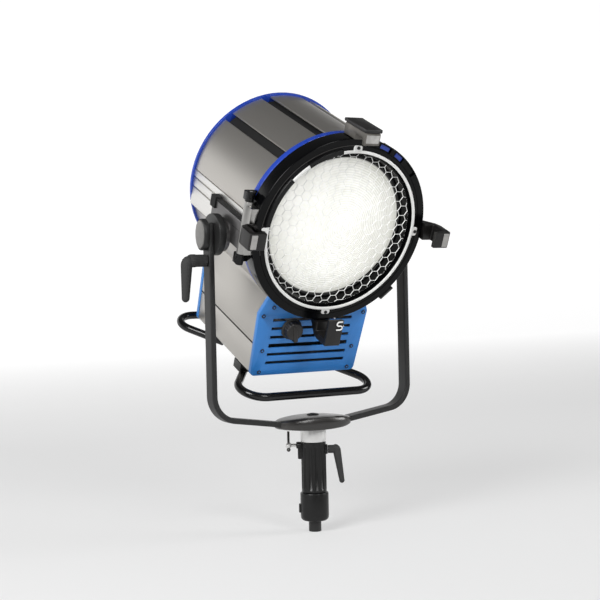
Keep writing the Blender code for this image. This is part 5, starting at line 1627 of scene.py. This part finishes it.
# ------------------------------------------------------------------ studio
@dataclass
class Studio:
    """Pale floor and backdrop, soft lights and the camera.

    Each light is its name, place, target, size in metres and power in watts.
    """

    lights = (("key", (-2.2, -1.0, 1.9), (0.0, -0.05, 0.55), 1.3, 74.0),
              ("front", (0.3, -2.9, 2.0), (0.0, -0.05, 0.45), 0.9, 34.0),
              ("right", (2.2, -0.9, 1.1), (0.0, -0.05, 0.5), 1.0, 26.0))
    focal_length, sensor = 78.7, 36.0

    def build(self) -> None:
        """Set everything up round the lamp."""
        self.floor()
        self.world()
        for row in self.lights:
            self.light(*row)
        self.camera()

    def floor(self) -> None:
        """A pale sweep: floor, a wide bend and a wall whose glow grows with distance."""
        bend = arc_points(1.6, -90.0, 0.0, 32) + np.array((4.6, 1.6))
        line = np.vstack(([(-7.0, 0.0)], np.column_stack((np.linspace(-6.0, 4.5, 40),
                                                          np.zeros(40))), bend, [(6.2, 4.4)]))
        wide = np.repeat(np.array((-9.0, 9.0))[None, :], len(line), axis=0)
        points = np.stack((wide, np.repeat(line[:, :1], 2, axis=1),
                           np.repeat(line[:, 1:], 2, axis=1)), axis=2).reshape(-1, 3)
        mesh = bpy.data.meshes.new("sweep")
        mesh.from_pydata(points.tolist(), [], grid_faces(len(line), 2, False, False).tolist())
        mesh.shade_smooth()
        nodes = Nodes("sweep_paper")
        split = nodes.add("ShaderNodeSeparateXYZ")
        nodes.link(nodes.place(), split.inputs["Vector"])
        far = nodes.math("MULTIPLY_ADD", split.outputs["Y"], 0.125)
        far.node.inputs[2].default_value = 0.25
        shade = nodes.ramp(far, ((0.0, (0.40, 0.40, 0.40)), (0.28, (0.46, 0.46, 0.46)),
                                 (0.42, (0.52, 0.52, 0.52)), (0.95, (0.90, 0.90, 0.90))))
        nodes.link(shade, nodes.shader.inputs["Emission Color"])
        nodes.shader.inputs["Emission Strength"].default_value = 1.0
        nodes.shader.inputs["Base Color"].default_value = (0.34, 0.34, 0.34, 1.0)
        nodes.shader.inputs["Roughness"].default_value = 0.95
        mesh.materials.append(nodes.material)
        floor = bpy.data.objects.new("sweep", mesh)
        bpy.context.scene.collection.objects.link(floor)

    def world(self) -> None:
        """A surround that is bright low at the back left, and dark above and in front."""
        world = bpy.data.worlds.new("studio")
        world.use_nodes = True
        tree = world.node_tree
        coords = tree.nodes.new("ShaderNodeTexCoord")
        mapping = tree.nodes.new("ShaderNodeVectorMath")
        mapping.operation = "DOT_PRODUCT"
        mapping.inputs[1].default_value = (-0.45, 0.55, -0.95)
        ramp = tree.nodes.new("ShaderNodeValToRGB")
        ramp.color_ramp.elements[0].position = 0.0
        ramp.color_ramp.elements[0].color = (0.10, 0.10, 0.10, 1.0)
        ramp.color_ramp.elements[1].position = 0.55
        ramp.color_ramp.elements[1].color = (0.85, 0.85, 0.86, 1.0)
        tree.links.new(coords.outputs["Generated"], mapping.inputs[0])
        tree.links.new(mapping.outputs["Value"], ramp.inputs["Fac"])
        background = tree.nodes["Background"]
        tree.links.new(ramp.outputs["Color"], background.inputs["Color"])
        background.inputs["Strength"].default_value = 0.9
        bpy.context.scene.world = world

    def light(self, name: str, place: Sequence[float], target: Sequence[float], size: float,
              power: float) -> None:
        """An area light that looks at a target."""
        data = bpy.data.lights.new(name, "AREA")
        data.shape = "SQUARE"
        data.size = size
        data.energy = power
        lamp = bpy.data.objects.new(name, data)
        lamp.location = place
        direction = Vector(target) - Vector(place)
        lamp.rotation_euler = direction.to_track_quat("-Z", "Y").to_euler()
        bpy.context.scene.collection.objects.link(lamp)

    def camera(self) -> None:
        """The camera, looking slightly up at the lamp from the front left."""
        data = bpy.data.cameras.new("camera")
        data.lens, data.sensor_width = self.focal_length, self.sensor
        camera = bpy.data.objects.new("camera", data)
        axes = Matrix(((0.8717, 0.0324, -0.4889), (-0.4895, 0.0124, -0.8719),
                       (-0.0222, 0.9994, 0.0267))).to_4x4()
        axes.translation = (-1.1728, -2.0539, 0.4818)
        camera.matrix_world = axes
        bpy.context.scene.collection.objects.link(camera)
        bpy.context.scene.camera = camera
        bpy.context.scene.view_settings.view_transform = "Standard"


def main() -> None:
    """Build the lamp sub-assembly by sub-assembly."""
    logging.basicConfig(level=logging.INFO, format="%(name)s %(message)s")
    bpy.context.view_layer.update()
    shop = Workshop()
    for assembly in (StandHead(shop), Yoke(shop), Barrel(shop), LowerHousing(shop), Skids(shop),
                     LensDoor(shop), FocusDrive(shop), LampCarriage(shop), Studio()):
        LOG.info("building %s", type(assembly).__name__)
        assembly.build()
    bpy.context.view_layer.update()
    LOG.info("%d pieces made", len(shop.made))


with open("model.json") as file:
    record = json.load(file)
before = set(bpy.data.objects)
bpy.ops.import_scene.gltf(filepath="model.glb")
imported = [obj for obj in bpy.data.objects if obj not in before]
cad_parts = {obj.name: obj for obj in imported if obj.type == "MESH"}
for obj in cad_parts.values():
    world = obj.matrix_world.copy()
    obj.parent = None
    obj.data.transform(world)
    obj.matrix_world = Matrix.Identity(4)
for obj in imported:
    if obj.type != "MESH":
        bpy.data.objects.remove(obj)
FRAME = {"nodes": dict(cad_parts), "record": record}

if __name__ == "__main__":
    main()
